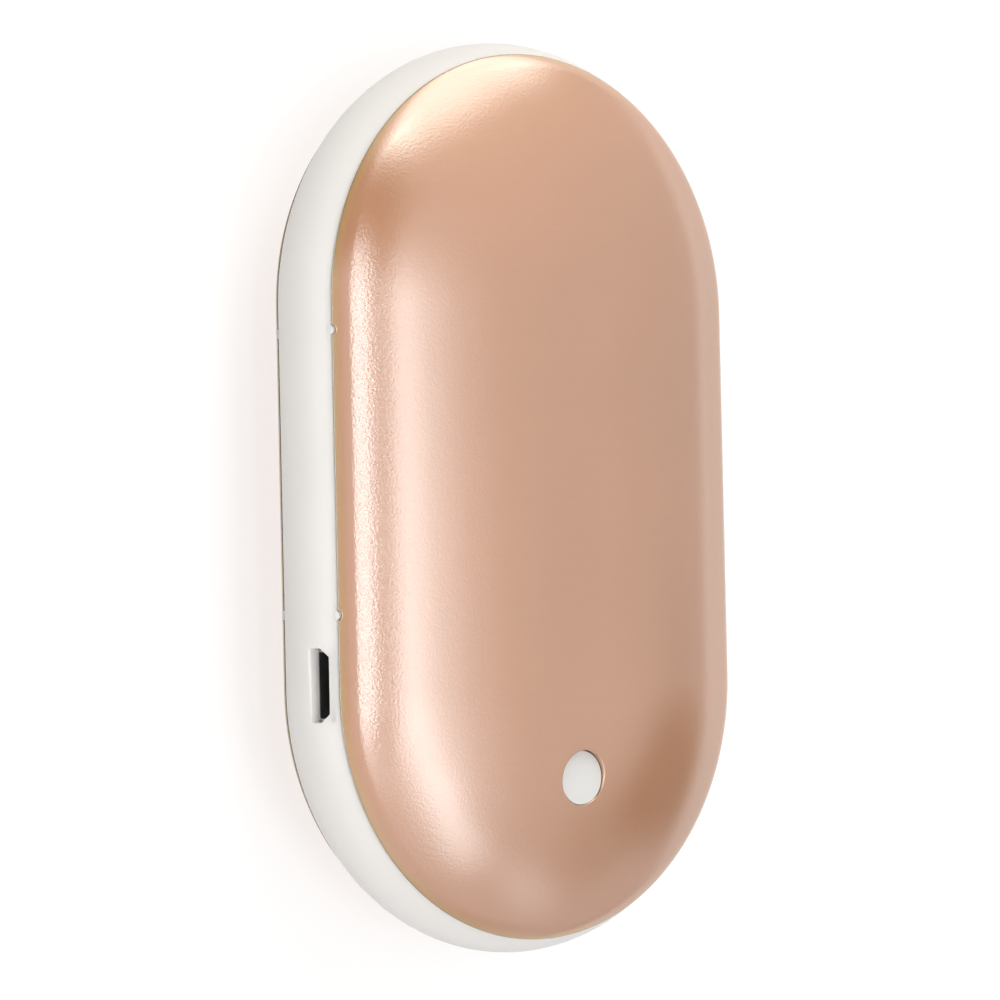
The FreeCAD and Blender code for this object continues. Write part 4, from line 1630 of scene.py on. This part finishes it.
@dataclass
class InnerWorks:
    """The CAD nodes that stay as they are: socket, switch, board, cells, films and leads."""

    palette: Palette
    replaced: tuple[str, ...] = ("front_shell", "back_shell", "middle_frame", "button_cap", "switch_dome")

    def dress(self) -> list[str]:
        """Give each CAD node its finish.

        Returns:
            The names of the nodes that keep their shape.
        """
        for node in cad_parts.values():
            self.palette.repaint(node)
        return [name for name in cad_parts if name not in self.replaced]


# Studio


def heading_way(lean: float, heading: float) -> Vector:
    """Unit vector of a direction.

    Args:
        lean: Angle from straight up, in degrees.
        heading: Angle from +X towards +Y, in degrees.

    Returns:
        The vector.
    """
    lean, heading = math.radians(lean), math.radians(heading)
    return Vector((math.sin(lean) * math.cos(heading), math.sin(lean) * math.sin(heading), math.cos(lean)))


@dataclass(frozen=True)
class SkyPanel:
    """A soft oval panel of the surroundings, brighter or darker than the rest.

    Its place is counted in degrees from straight above: to the right, and towards the far end
    of the case. The spans are half angles. The level fades from the plateau to the edge. The
    panel is an oval column without an end: its depth is a large number.
    """

    name: str
    right: float
    far: float
    across: float
    along: float
    level: float
    turn: float = 0.0
    plateau: float = 0.0
    depth: float = 1000.0

    def axes(self) -> Matrix:
        """Axes of the panel: its width, its length and the way to it.

        Returns:
            The axes, as the columns of a matrix.
        """
        away = heading_way(math.hypot(self.right, self.far), math.degrees(math.atan2(self.far, self.right)))
        length = Vector((0.0, 1.0, 0.0))
        length = (length - away * length.dot(away)).normalized()
        length.rotate(Matrix.Rotation(math.radians(self.turn), 3, away))
        return Matrix((length.cross(away), length, away)).transposed()

    def hang(self, sky: NodeBoard) -> Socket:
        """Add the panel's nodes to the sky.

        Args:
            sky: The sky's node tree.

        Returns:
            What the panel adds to the level of the sky.
        """
        local = sky.node("ShaderNodeMapping", label=self.name, vector_type="TEXTURE")
        local.inputs["Rotation"].default_value = self.axes().to_euler()
        spans = (math.sin(math.radians(self.across)), math.sin(math.radians(self.along)))
        local.inputs["Scale"].default_value = (*spans, self.depth)
        sky.join(sky.place, local.inputs["Vector"])
        away = sky.node("ShaderNodeVectorMath", operation="LENGTH")
        sky.join(local.outputs["Vector"], away.inputs[0])
        return sky.spread(away.outputs["Value"], self.level, 0.0, self.plateau, 1.0, Course.EASED)


@dataclass
class Studio:
    """Pale floor, soft light and the camera."""

    case: CaseSizes
    sky_level: float = 0.72
    sky_least: float = 0.03
    warm_part: SkyPanel = SkyPanel("head_warmth", 16.0, 54.0, 60.0, 26.0, 1.0, turn=8.0, plateau=0.5)
    warm_tint: Colour = (1.0, 0.98, 0.89)
    floor_radius: float = 2.5
    floor_rings: tuple[float, ...] = (0.02, 0.1, 0.4, 1.0)
    floor_steps: int = 96
    floor_mottle: float = 9.0
    floor_shades: Flat = (0.99, 1.01)
    floor_gloss: Flat = (0.85, 0.95)
    floor_shine: float = 0.1
    floor_tint: Colour = (0.35, 0.35, 0.35)
    floor_glow: float = 0.68
    camera_side: float = 40.12
    camera_rise: float = -0.77
    camera_roll: float = 1.26
    camera_distance: float = 447.23
    pixels_per_mm: float = 9.08
    picture: float = 1000.0
    picture_centre: Flat = (508.79, 497.1)
    sensor: float = 36.0
    sight: Flat = (0.01, 50.0)
    panels: tuple[SkyPanel, ...] = (
        SkyPanel("edge_strip", -19.2, 1.0, 2.7, 26.0, 6.8, turn=-3.0, plateau=0.4),
        SkyPanel("gap_shade", -13.8, 1.0, 2.4, 26.0, -1.3),
        SkyPanel("strip_tail", -16.0, -21.0, 4.0, 11.0, 1.3, turn=20.0),
        SkyPanel("strip_shade", -11.5, 17.0, 4.5, 12.0, -1.3, turn=-18.0, plateau=0.3),
        SkyPanel("flank_near", -8.4, -4.0, 5.6, 26.0, 2.1),
        SkyPanel("flank_glow", -4.5, -5.0, 8.0, 30.0, 2.0, turn=3.0),
        SkyPanel("flank_spread", 2.0, -7.0, 12.0, 36.0, 1.1, turn=8.0),
        SkyPanel("flank_far", 11.0, -10.0, 17.0, 44.0, 0.5, turn=14.0),
        SkyPanel("foot_near", -3.0, -13.0, 8.0, 13.0, 0.9, turn=19.0),
        SkyPanel("foot_turn", 3.0, -25.0, 9.0, 15.0, 1.9, turn=33.0),
        SkyPanel("foot_middle", 11.0, -36.0, 9.0, 13.0, 1.7, turn=52.0),
        SkyPanel("foot_far", 33.0, -45.0, 8.0, 22.0, 0.6, turn=75.0),
        SkyPanel("foot_wide", 2.0, -26.0, 18.0, 24.0, 0.9, turn=33.0),
        SkyPanel("head_near", -1.5, 45.0, 9.0, 8.0, 2.4),
        SkyPanel("head_wide", 22.0, 64.0, 50.0, 20.0, 3.0, turn=8.0, plateau=0.5),
        SkyPanel("head_far", 46.0, 57.0, 16.0, 9.0, 1.3),
        SkyPanel("head_halo", 14.0, 48.0, 34.0, 20.0, 0.2),
        SkyPanel("corner_shade", -29.0, 33.0, 33.0, 19.0, -0.7, plateau=0.6),
        SkyPanel("corner_wide", -50.0, 45.0, 32.0, 28.0, -0.72, plateau=0.5),
        SkyPanel("right_shade", 70.0, -19.0, 24.0, 16.0, -0.62, plateau=0.3),
        SkyPanel("button_shade", 50.0, -31.0, 20.0, 15.0, -0.34, plateau=0.2),
        SkyPanel("left_near", -46.0, 0.0, 12.0, 44.0, -0.4),
        SkyPanel("left_wide", -80.0, -4.0, 14.0, 64.0, 5.6),
        SkyPanel("foot_shade", -4.0, -76.0, 60.0, 18.0, -0.25, plateau=0.3),
    )

    def set_view(self) -> None:
        """Use the plain view transform."""
        bpy.context.scene.view_settings.view_transform = "Standard"

    def light(self) -> None:
        """Set the sky: an even level with soft panels in it."""
        world = bpy.data.worlds.new("studio")
        world.use_nodes = True
        sky = NodeBoard(world.node_tree, Space.SKY)
        level: Socket | float = self.sky_level
        for panel in self.panels:
            level = sky.sum(Sum.ADD, panel.hang(sky), level)
        plain = world.node_tree.nodes["Background"]
        sky.join(sky.sum(Sum.LARGER, level, self.sky_least), plain.inputs["Strength"])
        tint = sky.blend(self.warm_part.hang(sky), (1.0, 1.0, 1.0), self.warm_tint)
        sky.join(tint, plain.inputs["Color"])
        bpy.context.scene.world = world

    def lay_floor(self) -> Piece:
        """Lay the pale floor, which shows as white and keeps the shadow of the case.

        Returns:
            The floor.
        """
        maker = MeshMaker("floor", 0.0)
        angles = [2 * math.pi * step / self.floor_steps for step in range(self.floor_steps)]
        radii = [self.floor_radius / MM * share for share in self.floor_rings]
        made = maker.skin([[(r * math.cos(a), r * math.sin(a), 0.0) for a in angles] for r in radii])
        maker.cap(made[0])
        floor = maker.build()
        sheet = NodeSheet("pale_floor")
        mottle = sheet.noise(self.floor_mottle)
        sheet.colour(mottle, *(deeper(self.floor_tint, shade) for shade in self.floor_shades))
        sheet.roughness(mottle, *self.floor_gloss)
        sheet.set(Specular_IOR_Level=self.floor_shine, Emission_Color=(1.0, 1.0, 1.0, 1.0))
        path = sheet.node("ShaderNodeLightPath")
        seen = sheet.sum(Sum.ADD, path.outputs["Is Camera Ray"], path.outputs["Is Glossy Ray"])
        seen = sheet.sum(Sum.ADD, seen, path.outputs["Is Transmission Ray"])
        sheet.join(sheet.spread(seen, 0.0, self.floor_glow), sheet.shader.inputs["Emission Strength"])
        floor.data.materials.append(sheet.material)
        return floor

    def place_camera(self) -> Piece:
        """Make the camera at the viewing angle of the picture.

        Returns:
            The camera's object.
        """
        turns = (self.camera_side, self.camera_rise, self.camera_roll)
        side, rise, roll = (math.radians(turn) for turn in turns)
        out = Vector((-math.sin(side), 0.0, math.cos(side)))
        back = out * math.cos(rise) + Vector((0.0, math.sin(rise), 0.0))
        level = Vector((math.cos(side), 0.0, math.sin(side)))
        upright = back.cross(level)
        right = level * math.cos(roll) - upright * math.sin(roll)
        up = level * math.sin(roll) + upright * math.cos(roll)
        data = bpy.data.cameras.new("camera")
        data.sensor_width = self.sensor
        data.lens = self.pixels_per_mm * self.camera_distance * self.sensor / self.picture
        data.shift_x = 0.5 - self.picture_centre[0] / self.picture
        data.shift_y = self.picture_centre[1] / self.picture - 0.5
        data.clip_start, data.clip_end = self.sight
        camera = bpy.data.objects.new("camera", data)
        axes = Matrix((right, up, back)).transposed().to_4x4()
        centre = Vector((0.0, 0.0, self.case.middle * MM))
        camera.matrix_world = Matrix.Translation(centre + back * self.camera_distance * MM) @ axes
        bpy.context.scene.collection.objects.link(camera)
        bpy.context.scene.camera = camera
        return camera


def main() -> None:
    """Build the hand warmer piece by piece, then the studio around it."""
    logging.basicConfig(level=logging.INFO, format="%(name)s: %(message)s")
    case = CaseSizes()
    studio = Studio(case)
    studio.set_view()
    studio.place_camera()
    palette = Palette()
    assemblies = (
        MetalCover(case, Face.FRONT, palette),
        MetalCover(case, Face.BACK, palette),
        MiddleBand(case, palette),
        PushButton(case, palette),
    )
    for assembly in assemblies:
        for piece in assembly.build():
            log.info("%s: %d faces", piece.name, len(piece.data.polygons))
    for name in InnerWorks(palette).dress():
        log.info("%s: keeps its CAD shape", name)
    studio.lay_floor()
    studio.light()


if __name__ == "__main__":
    main()
